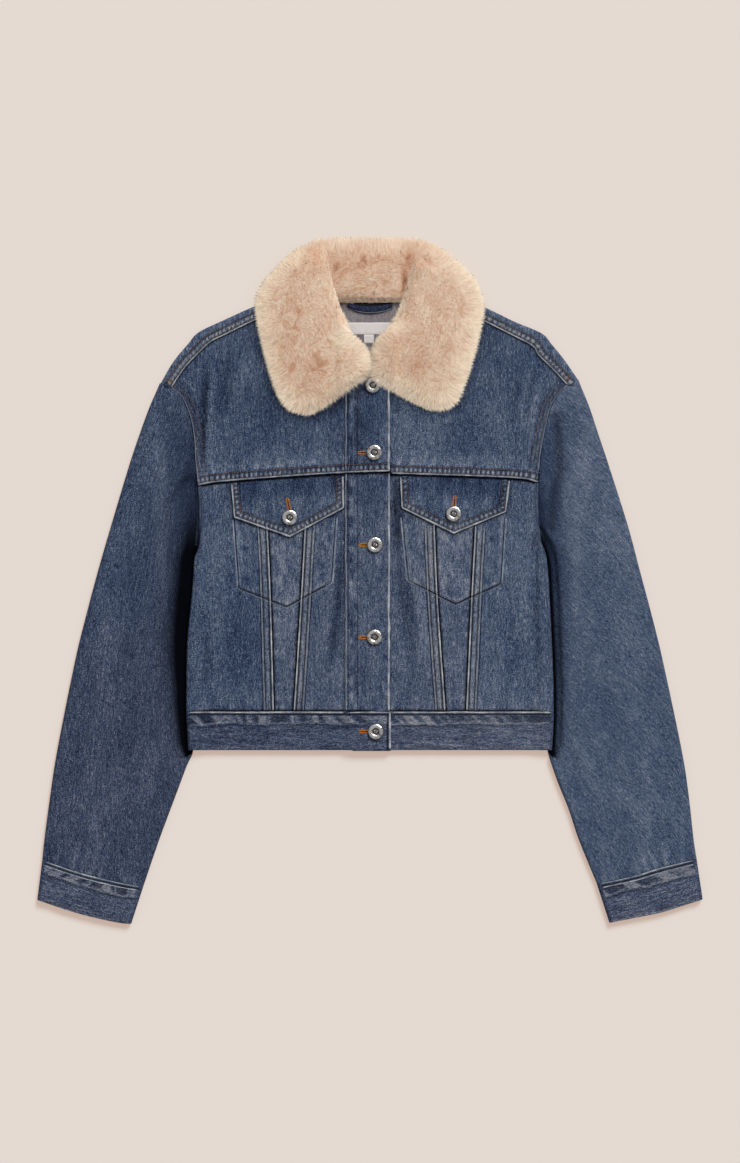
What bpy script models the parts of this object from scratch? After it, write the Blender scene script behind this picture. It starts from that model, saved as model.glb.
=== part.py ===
"""A cropped denim jacket with a fur collar, buttoned and laid flat on its back.

Millimetres in the tables, metres in the scene, +Z up from the floor. X runs across the jacket and Y
towards its collar. The back lies on the floor and the fronts lie on it, with the cloth's own stiffness
between them. The sleeves' inner margins are tucked under the sides of the body.
"""

import math

import bmesh
import bpy
import numpy as np

MM = 0.001
JACKET = "fur_collar_denim_jacket"

# Cloth
BODY_WALL = 1.8  # denim with its turned seams
PLACKET_WALL = 2.2  # folded front edge
BAND_WALL = 2.4  # waistband, two layers
CUFF_WALL = 2.6
CUFF_HEIGHT = 9.0
FLAP_WALL = 2.0
SLEEVE_WALL_LEAST = 1.35
BODY_SPACE = 3.8  # between back and front
EDGE_HEIGHT = 6.6  # over both layers at the side folds
SEAM_GAP = 0.32
ARMHOLE_GAP = 0.75  # between body and sleeve, which curve differently
YOKE_GAP = 1.0
LAP_GAP = 0.35
TUCK_LIFT = 3.5  # the body's side over the sleeve's margin
TUCK_MARGIN = 3.1  # height of that margin
LIFT_START = 8.5  # inside the margin's edge, where the body begins to rise
LIFT_SLOPE = 6.0
LIFT_ABOVE_UNDERARM = 13.0
LIFT_ENDS = 9.0  # the rise also fades over this length, up towards the armhole
UNDERARM_TURN = 16.0  # below the underarm, over which the side fold forms
EDGE_FLAT, EDGE_SLOPE = 3.0, 22.0  # the side's fold, and where the fronts fall towards it
FOLD_RADIUS_MOST = 4.5  # at the long edges of sleeves and cuffs

# Raised seams
STRIP_WIDTH = 11.3
STRIP_RAISE = 0.9
STRIP_TOP_Y = 56.0  # pressed flat above this, under the pocket flaps
STRIP_FADE = 7.0
STRIP_MARKS = (0.0, STRIP_WIDTH - 0.6, STRIP_WIDTH + 0.5)  # seam, and the top and foot of the strip's step
YOKE_BAND_WIDTH = 10.5
YOKE_BAND_RAISE = 0.8
YOKE_DEPTH = 130.0  # from the yoke seam to the shoulder, where the rows are spaced

# Heights that the parts share
FRONT_UNDER = BODY_WALL + BODY_SPACE
FRONT_TOP = FRONT_UNDER + BODY_WALL
LAP_UNDER = FRONT_TOP + LAP_GAP
LAP_TOP = LAP_UNDER + PLACKET_WALL
BAND_SPACE = 3.4
BAND_TOP = 2 * BAND_WALL + BAND_SPACE
BAND_EDGE_DROP = 1.0  # the band is pressed flatter at its side folds
BAND_LAP_TOP = BAND_TOP + LAP_GAP + BAND_WALL

# The front lap, from the left front's stitched ridge to its edge
LAP_RIDGE_X = -28.0
LAP_RIDGE_WIDTH = 4.5
LAP_EDGE_X = 21.6
STAND_EDGE_X = -19.8  # the right front's edge, under the lap

# Levels along Y
WAIST_SEAM_Y = -142.5
HEM_Y = -185.0
BACK_YOKE_Y = 130.0
LEAF_CLEARANCE = 0.45  # fur collar over the yokes

# Outlines, each row (x, y). Left is -X.
ARMHOLE = {
    "left": [(-231, 218.9), (-217.8, 214.5), (-206.8, 202.4), (-200.2, 188), (-196.4, 175), (-193.6, 155),
             (-192.5, 134), (-189.2, 105.6), (-188.1, 70.4), (-189.8, 39.6)],
    "right": [(228.8, 223.3), (216.7, 216.7), (206.8, 205.7), (199.1, 192.5), (194.7, 175), (191.4, 159.5),
              (188.1, 142), (186.5, 124), (185.7, 108.9), (185.6, 80.3), (187.6, 50.6)],
}
SIDE = {
    "left": [(-189.8, 39.6), (-193.6, 26.4), (-195.8, -8.8), (-201.3, -65), (-202.4, -119), (-202.4, -143),
             (-200.2, -187)],
    "right": [(187.6, 50.6), (194.7, 25.3), (198.0, -18.7), (201.3, -88), (202.4, -130), (201.9, -157),
              (200.2, -187)],
}
SHOULDER_FOLD = {
    "left": [(-231, 218.9), (-216.7, 243.1), (-200.2, 262.9), (-189.2, 275), (-159.5, 289.3),
             (-127.6, 303.6), (-77, 324), (-66, 328)],
    "right": [(228.8, 223.3), (214.5, 244.2), (200.2, 261.8), (189.2, 273.9), (158.4, 287.1),
              (126.5, 302.5), (77, 324), (66, 328)],
}
FORWARD_SEAM = {
    "left": [(-217.8, 214.5), (-203.5, 235.4), (-188.1, 251.9), (-174.9, 264), (-159.5, 271.7),
             (-125.4, 288.2), (-77, 308), (-66, 312)],
    "right": [(216.7, 216.7), (199.1, 235.4), (184.8, 249.7), (178.2, 259.6), (155.1, 271.7),
              (124.3, 287.1), (77, 308), (66, 312)],
}
FRONT_NECK = {
    "left": [(-66, 312), (-54, 303), (-42, 292), (-30, 277), (-14, 256), (0, 241), (10, 235), (21.6, 232)],
    "right": [(66, 312), (54, 303), (42, 292), (30, 277), (14, 256), (0, 241), (-10, 235), (-19.8, 232)],
}
BACK_NECK = [(-66, 328), (-58, 316), (-46, 308), (-30, 305.3), (30, 305.3), (46, 308), (58, 316), (66, 328)]
YOKE_SEAM = {
    "left": [(-189.2, 105.6), (-165, 109.5), (-89, 115.5), (-26.4, 119.4), (21.6, 121)],
    "right": [(-19.8, 118.6), (25.3, 118.3), (154, 113.9), (185.7, 108.9)],
}
# V seams, each row (x, y) from the waistband up
OUTER_SEAM = {
    "left": [(-105.6, WAIST_SEAM_Y), (-108.9, -19.8), (-112.2, 56), (-114.8, 115)],
    "right": [(105.6, WAIST_SEAM_Y), (111.1, -19.8), (115.5, 62.7), (118.3, 117)],
}
INNER_SEAM = {
    "left": [(-84.2, WAIST_SEAM_Y), (-76.5, -19.8), (-72.2, 57), (-68.9, 117)],
    "right": [(83.3, WAIST_SEAM_Y), (74.8, -19.8), (71.3, 62.7), (69.1, 117)],
}
FLAP = {
    "left": [(-152.9, 108.9), (-29.3, 117), (-28.6, 81.4), (-88.2, 49.5), (-149.6, 71)],
    "right": [(33, 116.4), (154, 112), (149.6, 77), (92.1, 53.2), (34.7, 81.4)],
}
SLEEVE_OUTER = {
    "left": [(-231, 218.9), (-242, 194.7), (-254.1, 161.7), (-265.1, 128.7), (-284.9, 62.7), (-299.2, 13.2),
             (-312.4, -36.3), (-324.5, -85.8), (-344.3, -184.8), (-352, -234.3), (-358.6, -283.8),
             (-360.8, -305.8)],
    "right": [(228.8, 223.3), (240.9, 194.7), (251.9, 161.7), (262.9, 128.7), (283.8, 62.7), (297, 13.2),
              (310.2, -36.3), (322.3, -85.8), (343.2, -184.8), (350.9, -234.3), (356.4, -283.8),
              (359.7, -304.7)],
}
SLEEVE_INNER = {
    "left": [(-189.8, 39.6), (-190.4, 28), (-190, 12), (-189.3, -15), (-190.3, -65), (-191.4, -119),
             (-192.5, -157), (-195, -187), (-201.3, -201.3), (-214.5, -236.5), (-232.1, -283.8),
             (-249.7, -335.5)],
    "right": [(187.6, 50.6), (189.2, 38), (190, 22), (190.1, -10), (190.3, -75), (191.4, -130),
              (193.6, -168), (196, -188), (205.7, -217.8), (218.9, -250.8), (229.9, -283.8),
              (249.7, -332.2)],
}
CUFF_SEAM = {
    "left": [(-360.8, -305.8), (-322.3, -319), (-283.8, -328.9), (-249.7, -335.5)],
    "right": [(359.7, -304.7), (319, -314.6), (290.4, -323.4), (249.7, -332.2)],
}
CUFF_HEM = {
    "left": [(-366.3, -349.8), (-334.4, -360.8), (-306.9, -368.5), (-276.1, -375.1), (-262.9, -376.2)],
    "right": [(366.3, -349.2), (338.8, -358.1), (319, -364.1), (291.5, -369.6), (263.5, -375.1)],
}
# The dark trough between sleeve and body: (y, width beside the body's edge)
TROUGH = {
    "left": [(120, 0), (112, 14), (90, 29), (40, 27), (-20, 21), (-75, 16), (-119, 10), (-178, 6), (-194, 0)],
    "right": [(60, 0), (45, 7), (-20, 7), (-90, 6), (-178, 6), (-194, 0)],
}
# A fold in the right sleeve beside the armhole: (x, y)
ARMHOLE_FOLD = [(204.6, 184), (206.8, 146), (207.9, 125), (203.5, 103), (199, 62)]
ARMHOLE_FOLD_HALF = 4.5
ARMHOLE_FOLD_DEPTH = 3.2

# Long soft ridges of the sleeves: start, end, half width, height
SLEEVE_RIDGES = {
    "left": [
        ((-213, 150), (-222, 40), 11, 1.1),
        ((-236, 110), (-262, -20), 12, 0.8),
        ((-222, -20), (-228, -150), 8, 0.9),
        ((-290, 20), (-335, -180), 14, 0.7),
        ((-300, -150), (-320, -280), 11, 0.8),
    ],
    "right": [
        ((214, 150), (222, 40), 10, 1.2),
        ((240, 110), (262, -20), 12, 0.7),
        ((218, -30), (226, -160), 9, 0.9),
        ((262, -60), (300, -240), 12, 0.8),
    ],
}

# Fur collar leaves: inner (roll) edge, outer edge and crest height over the yoke, from the front end up
LEAF = {
    "left": [
        ((-5, 231), (-72, 186), 9.0),
        ((-3, 240), (-86, 189), 14.0),
        ((-8, 260), (-97, 200), 16.5),
        ((-20, 279), (-105, 219), 18.0),
        ((-30, 297), (-113, 246), 18.5),
        ((-35, 310), (-121, 280), 18.5),
        ((-39, 323), (-124, 306), 18.0),
        ((-42, 336), (-120, 326), 17.5),
        ((-45, 349), (-107, 342), 16.5),
        ((-49, 360), (-90, 357), 14.0),
        ((-55, 368), (-74, 367.5), 9.0),
    ],
    "right": [
        ((5, 229), (69, 190), 9.0),
        ((6, 240), (88, 192), 14.0),
        ((9, 262), (97, 203), 16.5),
        ((20, 278), (105, 224), 18.0),
        ((29, 292), (113, 250), 18.5),
        ((34, 307), (121, 282), 18.5),
        ((38, 321), (123, 304), 18.0),
        ((42, 334), (118, 323), 17.5),
        ((45, 347), (106, 340), 16.5),
        ((50, 358), (86, 358), 14.0),
        ((55, 367), (70, 368), 9.0),
    ],
}
# Back stand of the collar: x, lower y, upper y, crest height over the floor
STAND = [
    (-63, 328.5, 362, 8.0),
    (-58, 317.5, 371, 14.0),
    (-46, 308.6, 375.5, 17.5),
    (-30, 305.9, 376.1, 18.5),
    (0, 305.9, 376.2, 19.0),
    (30, 305.9, 376.1, 18.5),
    (46, 308.6, 375.5, 17.5),
    (58, 317.5, 371, 14.0),
    (63, 328.5, 362, 8.0),
]

# Buttons
BUTTON_RADIUS = 8.75
FRONT_BUTTONS = [(3.3, 216.5), (4.8, 142.6), (5.5, 41.0), (5.0, -60.5), (6.4, -164.3)]
FLAP_BUTTONS = {"left": (-88.2, 71.0), "right": (92.1, 75.0)}
SEAT_GAP = 0.3

# Neck
LOOP_SIZE, LOOP_PLACE = (49.0, 7.2, 1.7), (0.0, 301.0)
LABEL_SIZE, LABEL_PLACE = (52.0, 13.0, 0.6), (-1.0, 279.4)
TAB_SIZE, TAB_PLACE = (11.0, 9.4, 0.5), (-1.1, 267.8)

# Colours, linear
DENIM = (0.066, 0.095, 0.155)
DENIM_REVERSE = (0.16, 0.155, 0.165)
FUR = (0.60, 0.43, 0.31)
NICKEL = (0.55, 0.54, 0.52)
NAVY = (0.03, 0.035, 0.10)
SATIN = (0.55, 0.54, 0.53)


def smooth(t):
    """Ease from 0 at t=0 to 1 at t=1."""
    t = np.clip(t, 0.0, 1.0)
    return t * t * (3.0 - 2.0 * t)


def spline(points, count=60):
    """A Catmull-Rom curve through points, sampled evenly along its chords."""
    p = np.array(points, float)
    ends = np.vstack([2 * p[0] - p[1], p, 2 * p[-1] - p[-2]])
    steps = np.linalg.norm(np.diff(p, axis=0), axis=1)
    knots = np.concatenate([[0.0], np.cumsum(steps)])
    wanted = np.linspace(0.0, knots[-1], count)
    index = np.clip(np.searchsorted(knots, wanted, side="right") - 1, 0, len(steps) - 1)
    t = ((wanted - knots[index]) / steps[index])[:, None]
    a, b, c, d = (ends[index + k] for k in range(4))
    return 0.5 * (2 * b + (c - a) * t + (2 * a - 5 * b + 4 * c - d) * t**2 + (3 * b - a - 3 * c + d) * t**3)


def at_y(points):
    """x as a function of y on a curve that runs along Y."""
    curve = spline(points)
    curve = curve[np.argsort(curve[:, 1])]
    return lambda y: np.interp(y, curve[:, 1], curve[:, 0])


def at_x(points):
    """y as a function of x on a curve that runs along X."""
    curve = spline(points)
    curve = curve[np.argsort(curve[:, 0])]
    return lambda x: np.interp(x, curve[:, 0], curve[:, 1])


def along(curve, t):
    """Points of a sampled curve at fractions t of its length."""
    curve = np.asarray(curve, float)
    lengths = np.concatenate([[0.0], np.cumsum(np.linalg.norm(np.diff(curve, axis=0), axis=1))])
    wanted = np.asarray(t) * lengths[-1]
    return np.stack([np.interp(wanted, lengths, curve[:, k]) for k in range(2)], axis=-1)


def patch(bottom, top, left, right):
    """A Coons patch between four curves: bottom and top run along u, left and right along v."""

    def place(u, v):
        u, v = np.broadcast_arrays(np.asarray(u, float), np.asarray(v, float))
        low, high = along(bottom, u), along(top, u)
        near, far = along(left, v), along(right, v)
        u, v = u[..., None], v[..., None]
        corners = (
            (1 - u) * (1 - v) * bottom[0] + u * (1 - v) * bottom[-1] + (1 - u) * v * top[0] + u * v * top[-1]
        )
        return (1 - v) * low + v * high + (1 - u) * near + u * far - corners

    return place


SIDES = ("left", "right")
SIGN = {"left": -1.0, "right": 1.0}
side_x = {side: at_y(ARMHOLE[side][6:] + SIDE[side][1:]) for side in SIDES}
tuck_x = {side: at_y(SLEEVE_INNER[side]) for side in SIDES}
trough_width = {
    side: (lambda y, rows=np.array(TROUGH[side][::-1], float): np.interp(y, rows[:, 0], rows[:, 1]))
    for side in SIDES
}


def fold_amount(side, y):
    """0 along the armhole, 1 where the body's side is folded round."""
    underarm = SIDE[side][0][1]
    return smooth((underarm - y) / UNDERARM_TURN)


def lift(x, y):
    """Height of the body's underside: 0 on the floor, raised over the tucked sleeve margins."""
    raised = np.zeros(np.broadcast(x, y).shape)
    for side in SIDES:
        beyond = SIGN[side] * (x - tuck_x[side](y)) + LIFT_START
        below = SIDE[side][0][1] + LIFT_ABOVE_UNDERARM - y
        raised = raised + TUCK_LIFT * smooth(beyond / LIFT_SLOPE) * smooth(below / LIFT_ENDS)
    return raised


def near_edge(x, y):
    """1 at the body's folded sides, 0 well inside them."""
    amount = np.zeros(np.broadcast(x, y).shape)
    for side in SIDES:
        inside = SIGN[side] * (side_x[side](y) - x)
        amount = np.maximum(amount, (1 - smooth((inside - EDGE_FLAT) / EDGE_SLOPE)) * fold_amount(side, y))
    return amount


def front_under(x, y):
    """Underside of the fronts."""
    space = BODY_SPACE - (2 * BODY_WALL + BODY_SPACE - EDGE_HEIGHT) * near_edge(x, y)
    return lift(x, y) + BODY_WALL + space


def lap_rise(x):
    """How far the left front rises over the right one."""
    return (LAP_UNDER - FRONT_UNDER) * smooth((x - LAP_RIDGE_X) / LAP_RIDGE_WIDTH)


def parts_collection(name):
    collection = bpy.data.collections.new(name)
    bpy.context.scene.collection.children.link(collection)
    return collection


def material(name, color, roughness, metallic=0.0):
    made = bpy.data.materials.new(name)
    made.use_nodes = True
    shader = made.node_tree.nodes["Principled BSDF"]
    shader.inputs["Base Color"].default_value = (*color, 1.0)
    shader.inputs["Roughness"].default_value = roughness
    shader.inputs["Metallic"].default_value = metallic
    made.diffuse_color = (*color, 1.0)
    return made


def add_object(name, mesh, color, roughness=0.9, metallic=0.0, collection=None):
    obj = bpy.data.objects.new(name, mesh)
    (collection or PARTS).objects.link(obj)
    mesh.materials.append(material(name, color, roughness, metallic))
    return obj


def grid_mesh(name, rows, keep=None, round_columns=False):
    """An open surface through rows of points; keep says which points are used."""
    rows = np.asarray(rows, float) * MM
    count, width = rows.shape[:2]
    bm = bmesh.new()
    verts = {}
    for i in range(count):
        for j in range(width):
            if keep is None or keep[i, j]:
                verts[i, j] = bm.verts.new(rows[i, j])
    last = width if round_columns else width - 1
    for i in range(count - 1):
        for j in range(last):
            corners = ((i, j), (i, (j + 1) % width), (i + 1, (j + 1) % width), (i + 1, j))
            if all(corner in verts for corner in corners):
                bm.faces.new([verts[corner] for corner in corners])
    mesh = bpy.data.meshes.new(name)
    bm.to_mesh(mesh)
    bm.free()
    return mesh


def sheet(name, rows, wall, color, outward=True, keep=None, round_columns=False):
    """Cloth: an open surface with Solidify. wall is one thickness, or one for each point."""
    mesh = grid_mesh(name, rows, keep, round_columns)
    obj = add_object(name, mesh, color)
    walls = np.broadcast_to(np.asarray(wall, float), np.asarray(rows).shape[:2])
    walls = walls[keep] if keep is not None else walls.reshape(-1)
    most = float(walls.max())
    solidify = obj.modifiers.new("Wall", "SOLIDIFY")
    solidify.thickness = most * MM
    solidify.offset = 1.0 if outward else -1.0
    if walls.min() < most:
        group = obj.vertex_groups.new(name="wall")
        for index, value in enumerate(walls):
            group.add([index], float(value) / most, "REPLACE")
        solidify.vertex_group = group.name
    mesh.shade_smooth()
    mesh.set_sharp_from_angle(angle=math.radians(40))
    return obj


def columns(width, from_left, from_right, between):
    """Fractions across a width: set distances from both edges, and even steps between them."""
    left = [d / width for d in from_left]
    right = [1 - d / width for d in reversed(from_right)]
    inner = np.linspace(left[-1], right[0], between + 2)[1:-1]
    return np.array([*left, *inner, *right])


def panel_grid(place, levels, from_left, from_right, between):
    """Rows of (x, y) at the levels v, with columns kept at set distances from the edges."""
    rows = []
    for v in levels:
        ends = place(np.array([0.0, 1.0]), np.full(2, v))
        width = np.linalg.norm(ends[1] - ends[0])
        u = columns(width, from_left, from_right, between)
        rows.append(place(u, np.full(len(u), v)))
    return np.array(rows)


def stack(xy, z):
    return np.concatenate([xy, np.broadcast_to(z, xy.shape[:-1])[..., None]], axis=-1)


def seam_points(points, low, high, count=40):
    """Points of the curve x(y) between two levels."""
    x = at_y(points)
    y = np.linspace(low, high, count)
    return np.stack([x(y), y], axis=1)


def level_points(points, left, right, raise_by=0.0, count=40):
    """Points of the curve y(x) between two places, moved along Y."""
    y = at_x(points)
    x = np.linspace(left, right, count)
    return np.stack([x, y(x) + raise_by], axis=1)


def strip_wall(distance, y):
    """Wall of a panel whose edge is a felled seam strip, by the distance from that edge."""
    on_strip = 1 - smooth((distance - STRIP_MARKS[1]) / (STRIP_MARKS[2] - STRIP_MARKS[1]))
    return BODY_WALL + STRIP_RAISE * on_strip * smooth((STRIP_TOP_Y - y) / STRIP_FADE)


def front_levels(low, high):
    """Row levels of a front panel, with two where its seam strip goes flat."""
    ys = [*np.linspace(low, STRIP_TOP_Y - 9, 8), STRIP_TOP_Y, *np.linspace(STRIP_TOP_Y + 12, high, 3)]
    return (np.array(ys) - low) / (high - low)


def front_panel(name, left_seam, right_seam, side, strip_edge=None, between=3):
    """A panel between two V seams or the front edge, from the waistband to the yoke."""
    yoke_y = at_x(YOKE_SEAM[side])
    low = WAIST_SEAM_Y + SEAM_GAP / 2
    tops = [float(yoke_y(curve[-1, 0])) - SEAM_GAP / 2 for curve in (left_seam, right_seam)]
    left = seam_points(left_seam, low, tops[0])
    right = seam_points(right_seam, low, tops[1])
    bottom = np.linspace(left[0], right[0], 20)
    top = level_points(YOKE_SEAM[side], left[-1, 0], right[-1, 0], -SEAM_GAP / 2)
    top[0], top[-1] = left[-1], right[-1]
    place = patch(bottom, top, left, right)
    levels = front_levels(low, float(tops[0]))
    lap = [0.0, LAP_EDGE_X - LAP_RIDGE_X - LAP_RIDGE_WIDTH, LAP_EDGE_X - LAP_RIDGE_X]
    marks = {
        "mid": ([0.0], [0.0]),
        "center_left": (STRIP_MARKS, lap),
        "center_right": ([0.0, LAP_EDGE_X - STAND_EDGE_X], STRIP_MARKS),
    }[strip_edge or "mid"]
    xy = panel_grid(place, levels, *marks, between)
    x, y = xy[..., 0], xy[..., 1]
    under = front_under(x, y)
    wall = np.full(x.shape, BODY_WALL)
    if strip_edge == "center_left":
        under = under + lap_rise(x)
        wall = strip_wall(x - x[:, :1], y)
        wall = np.where(x > LAP_RIDGE_X + LAP_RIDGE_WIDTH - 0.5, PLACKET_WALL, wall)
    if strip_edge == "center_right":
        wall = strip_wall(x[:, -1:] - x, y)
    return sheet(name, stack(xy, under), wall, DENIM)


def shifted(points, dx=0.0, dy=0.0):
    return np.asarray(points, float) + (dx, dy)


def center_and_mid_fronts():
    gap = SEAM_GAP / 2
    edge = [(LAP_EDGE_X, WAIST_SEAM_Y), (LAP_EDGE_X, 0), (LAP_EDGE_X, 122)]
    stand = [(STAND_EDGE_X, WAIST_SEAM_Y), (STAND_EDGE_X, 0), (STAND_EDGE_X, 122)]
    inner = {side: shifted(INNER_SEAM[side], -SIGN[side] * gap) for side in SIDES}
    front_panel("front_center_left", inner["left"], np.array(edge), "left", "center_left", 2)
    front_panel("front_center_right", np.array(stand), inner["right"], "right", "center_right", 2)
    for side in SIDES:
        seams = [shifted(OUTER_SEAM[side], -SIGN[side] * gap), shifted(INNER_SEAM[side], SIGN[side] * gap)]
        front_panel(f"front_mid_{side}", *sorted(seams, key=lambda seam: seam[0, 0]), side)


def side_front(side):
    """The side panel, folded round the body's side and down to the back."""
    sign = SIGN[side]
    yoke_y = at_x(YOKE_SEAM[side])
    low = WAIST_SEAM_Y + SEAM_GAP / 2
    high_out = float(yoke_y(ARMHOLE[side][7][0])) - SEAM_GAP / 2
    high_in = float(yoke_y(OUTER_SEAM[side][-1][0])) - SEAM_GAP / 2
    ys = np.linspace(low, high_out, 40)
    outer = np.stack([side_x[side](ys) - sign * SEAM_GAP / 2 * (1 - fold_amount(side, ys)), ys], axis=1)
    inner = seam_points(shifted(OUTER_SEAM[side], sign * SEAM_GAP / 2), low, high_in)
    bottom = np.linspace(inner[0], outer[0], 20)
    top = level_points(YOKE_SEAM[side], inner[-1, 0], outer[-1, 0], -SEAM_GAP / 2)
    top[0], top[-1] = inner[-1], outer[-1]
    place = patch(bottom, top, inner, outer)
    radius = EDGE_HEIGHT / 2
    edge_marks = [radius, radius + 5.0, radius + 14.0]
    underarm = (SIDE[side][0][1] - low) / (high_out - low)
    flat_strip = (STRIP_TOP_Y - low) / (high_out - low)
    # Rows are closer at the underarm, and two of them stand where the strip goes flat.
    levels = np.concatenate([np.linspace(0, underarm - 0.11, 6), np.linspace(underarm - 0.07, underarm, 4),
                             [flat_strip - 0.012], np.linspace(flat_strip + 0.03, 1, 3)])
    turns = np.radians(np.arange(0, 181, 30))
    rows, walls = [], []
    for v in levels:
        ends = place(np.array([0.0, 1.0]), np.full(2, v))
        width = np.linalg.norm(ends[1] - ends[0])
        u = columns(width, STRIP_MARKS, edge_marks, 2)
        xy = place(u, np.full(len(u), v))
        z = front_under(xy[:, 0], xy[:, 1])
        edge_x, edge_y = ends[1]
        amount = float(fold_amount(side, edge_y))
        middle = float(lift(edge_x, edge_y)) + radius
        small = radius - BODY_WALL
        level = np.full(len(turns), edge_y)
        fold = np.stack([edge_x - sign * radius + sign * small * np.sin(turns), level,
                         middle + small * np.cos(turns)], axis=1)
        across = edge_x - sign * np.linspace(radius, 0.0, len(turns))
        flat = np.stack([across, level, front_under(across, level)], axis=1)
        turned = flat + amount * (fold - flat)
        row = np.vstack([stack(xy, z)[:-1], turned])
        wall = strip_wall(np.abs(row[:, 0] - row[0, 0]), row[:, 1])
        wall[len(STRIP_MARKS) + 1:] = BODY_WALL
        rows.append(row)
        walls.append(wall)
    rows, walls = np.array(rows), np.array(walls)
    if sign < 0:
        rows, walls = rows[:, ::-1], walls[:, ::-1]
    return sheet(f"front_side_{side}", rows, walls, DENIM)


def front_yoke(side):
    sign = SIGN[side]
    gap = SEAM_GAP / 2
    edge_x = LAP_EDGE_X if side == "left" else STAND_EDGE_X
    armhole = spline(ARMHOLE[side][1:8])[::-1] - (sign * gap, 0)
    seam = level_points(YOKE_SEAM[side], armhole[0, 0], edge_x, YOKE_GAP - gap)
    forward = spline(FORWARD_SEAM[side], 60)[1:] - (0, YOKE_GAP)
    neck = spline(FRONT_NECK[side], 30)[1:]
    neck[-1, 0] = edge_x
    top = np.vstack([armhole[-1:], forward, neck])
    seam[0] = armhole[0]
    front = np.linspace(seam[-1], top[-1], 20)
    place = patch(seam, top, armhole, front)
    band = np.array([0.0, 4.5, YOKE_BAND_WIDTH, YOKE_BAND_WIDTH + 1.2]) / YOKE_DEPTH
    levels = np.concatenate([band, np.linspace(band[-1], 1, 7)[1:]])
    u = np.concatenate([np.linspace(0, 0.76, 7), [0.79, 0.815, 0.84, 0.92, 1.0]])  # closer at the lap's ridge
    xy = np.array([place(u, np.full(len(u), v)) for v in levels])
    x, y = xy[..., 0], xy[..., 1]
    under = front_under(x, y)
    wall = np.full(x.shape, BODY_WALL)
    if side == "left":
        under = under + lap_rise(x)
        wall = np.where(x > LAP_RIDGE_X + LAP_RIDGE_WIDTH - 0.5, PLACKET_WALL, wall)
    clear_of_lap = smooth((sign * x - 23.0) / 2.0) if side == "right" else 1.0
    wall = wall + np.where(np.arange(len(levels))[:, None] < 3, YOKE_BAND_RAISE, 0.0) * clear_of_lap
    rows = stack(xy, under)
    if sign > 0:
        rows, wall = rows[:, ::-1], wall[:, ::-1]
    return sheet(f"front_yoke_{side}", rows, wall, DENIM)


def back_edge(side, y):
    """The back's side edge: the armhole above, the inner end of the side fold below."""
    sign = SIGN[side]
    inward = SEAM_GAP / 2 + (EDGE_HEIGHT / 2 + SEAM_GAP) * fold_amount(side, y)
    return side_x[side](y) - sign * inward


def back_panel():
    low, high = WAIST_SEAM_Y + SEAM_GAP / 2, BACK_YOKE_Y - SEAM_GAP / 2
    marks = [0, 2.5, 5, 7.5, 10, 14]
    rows = []
    for y in [*np.linspace(low, 0, 5), 18, 32, 42, 52, 64, 80, 96, 112, high]:
        left, right = float(back_edge("left", y)), float(back_edge("right", y))
        x = left + (right - left) * columns(right - left, marks, marks, 3)
        rows.append(np.stack([x, np.full(len(x), y), lift(x, np.full(len(x), y))], axis=1))
    return sheet("back_panel", np.array(rows), BODY_WALL, DENIM)


def back_yoke():
    """Flat on the floor, turned over both shoulders to the forward seams, open at the neck."""
    gap = SEAM_GAP / 2
    low = BACK_YOKE_Y + gap
    radius = FRONT_TOP / 2
    left = spline(ARMHOLE["left"][:7])[::-1] + (3 * gap, 0)
    right = spline(ARMHOLE["right"][:8])[::-1] - (gap, 0)
    left = left[left[:, 1] >= low]
    right = right[right[:, 1] >= low]
    left[0, 1] = right[0, 1] = low
    bottom = np.linspace(left[0], right[0], 30)
    fold_left = spline(SHOULDER_FOLD["left"], 60) + (gap, 0)
    fold_right = spline(SHOULDER_FOLD["right"], 60)[::-1] - (gap, 0)
    neck = np.array(BACK_NECK[1:-1], float)
    outline = np.vstack([fold_left, neck, fold_right])
    shoulder_length = np.linalg.norm(np.diff(fold_left, axis=0), axis=1).sum()
    whole = np.linalg.norm(np.diff(outline, axis=0), axis=1).sum()
    share = shoulder_length / whole
    shoulder_u = np.linspace(0, share, 10)
    u = np.concatenate([shoulder_u, np.linspace(share, 1 - share, 7)[1:-1], 1 - shoulder_u[::-1]])
    on_shoulder = (u <= share + 1e-9) | (u >= 1 - share - 1e-9)
    place = patch(bottom, outline, left, right)
    forward = {side: at_x(FORWARD_SEAM[side]) for side in SIDES}
    rows, keep = [], []
    small = radius - BODY_WALL
    edge = place(u, np.ones(len(u)))
    base = place(u, np.full(len(u), 0.9))
    back = (base - edge) / np.linalg.norm(base - edge, axis=1)[:, None]
    inset = np.where(on_shoulder, radius, 0.0)[:, None]
    for v in np.linspace(0, 1, 4):
        flat = place(u, np.full(len(u), v)) + back * inset * v
        rows.append(stack(flat, BODY_WALL))
        keep.append(np.ones(len(u), bool))
    for turn in np.radians([36, 72, 108, 144, 180]):
        turned = edge + back * (radius - small * math.sin(turn))
        rows.append(stack(turned, radius - small * math.cos(turn)))
        keep.append(on_shoulder)
    start = edge + back * radius
    nearer = np.where(start[:, 0] < 0, forward["left"](start[:, 0]), forward["right"](start[:, 0]))
    end = np.stack([start[:, 0], np.minimum(nearer + gap, start[:, 1] - 1.0)], axis=1)
    for side, index in (("left", 0), ("right", len(u) - 1)):
        end[index] = np.array(ARMHOLE[side][1]) + (-SIGN[side] * gap, 2 * gap)
    rows.append(stack(end, FRONT_UNDER))
    keep.append(on_shoulder)
    return sheet("back_yoke", np.array(rows), BODY_WALL, DENIM_REVERSE, outward=False, keep=np.array(keep))


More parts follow.
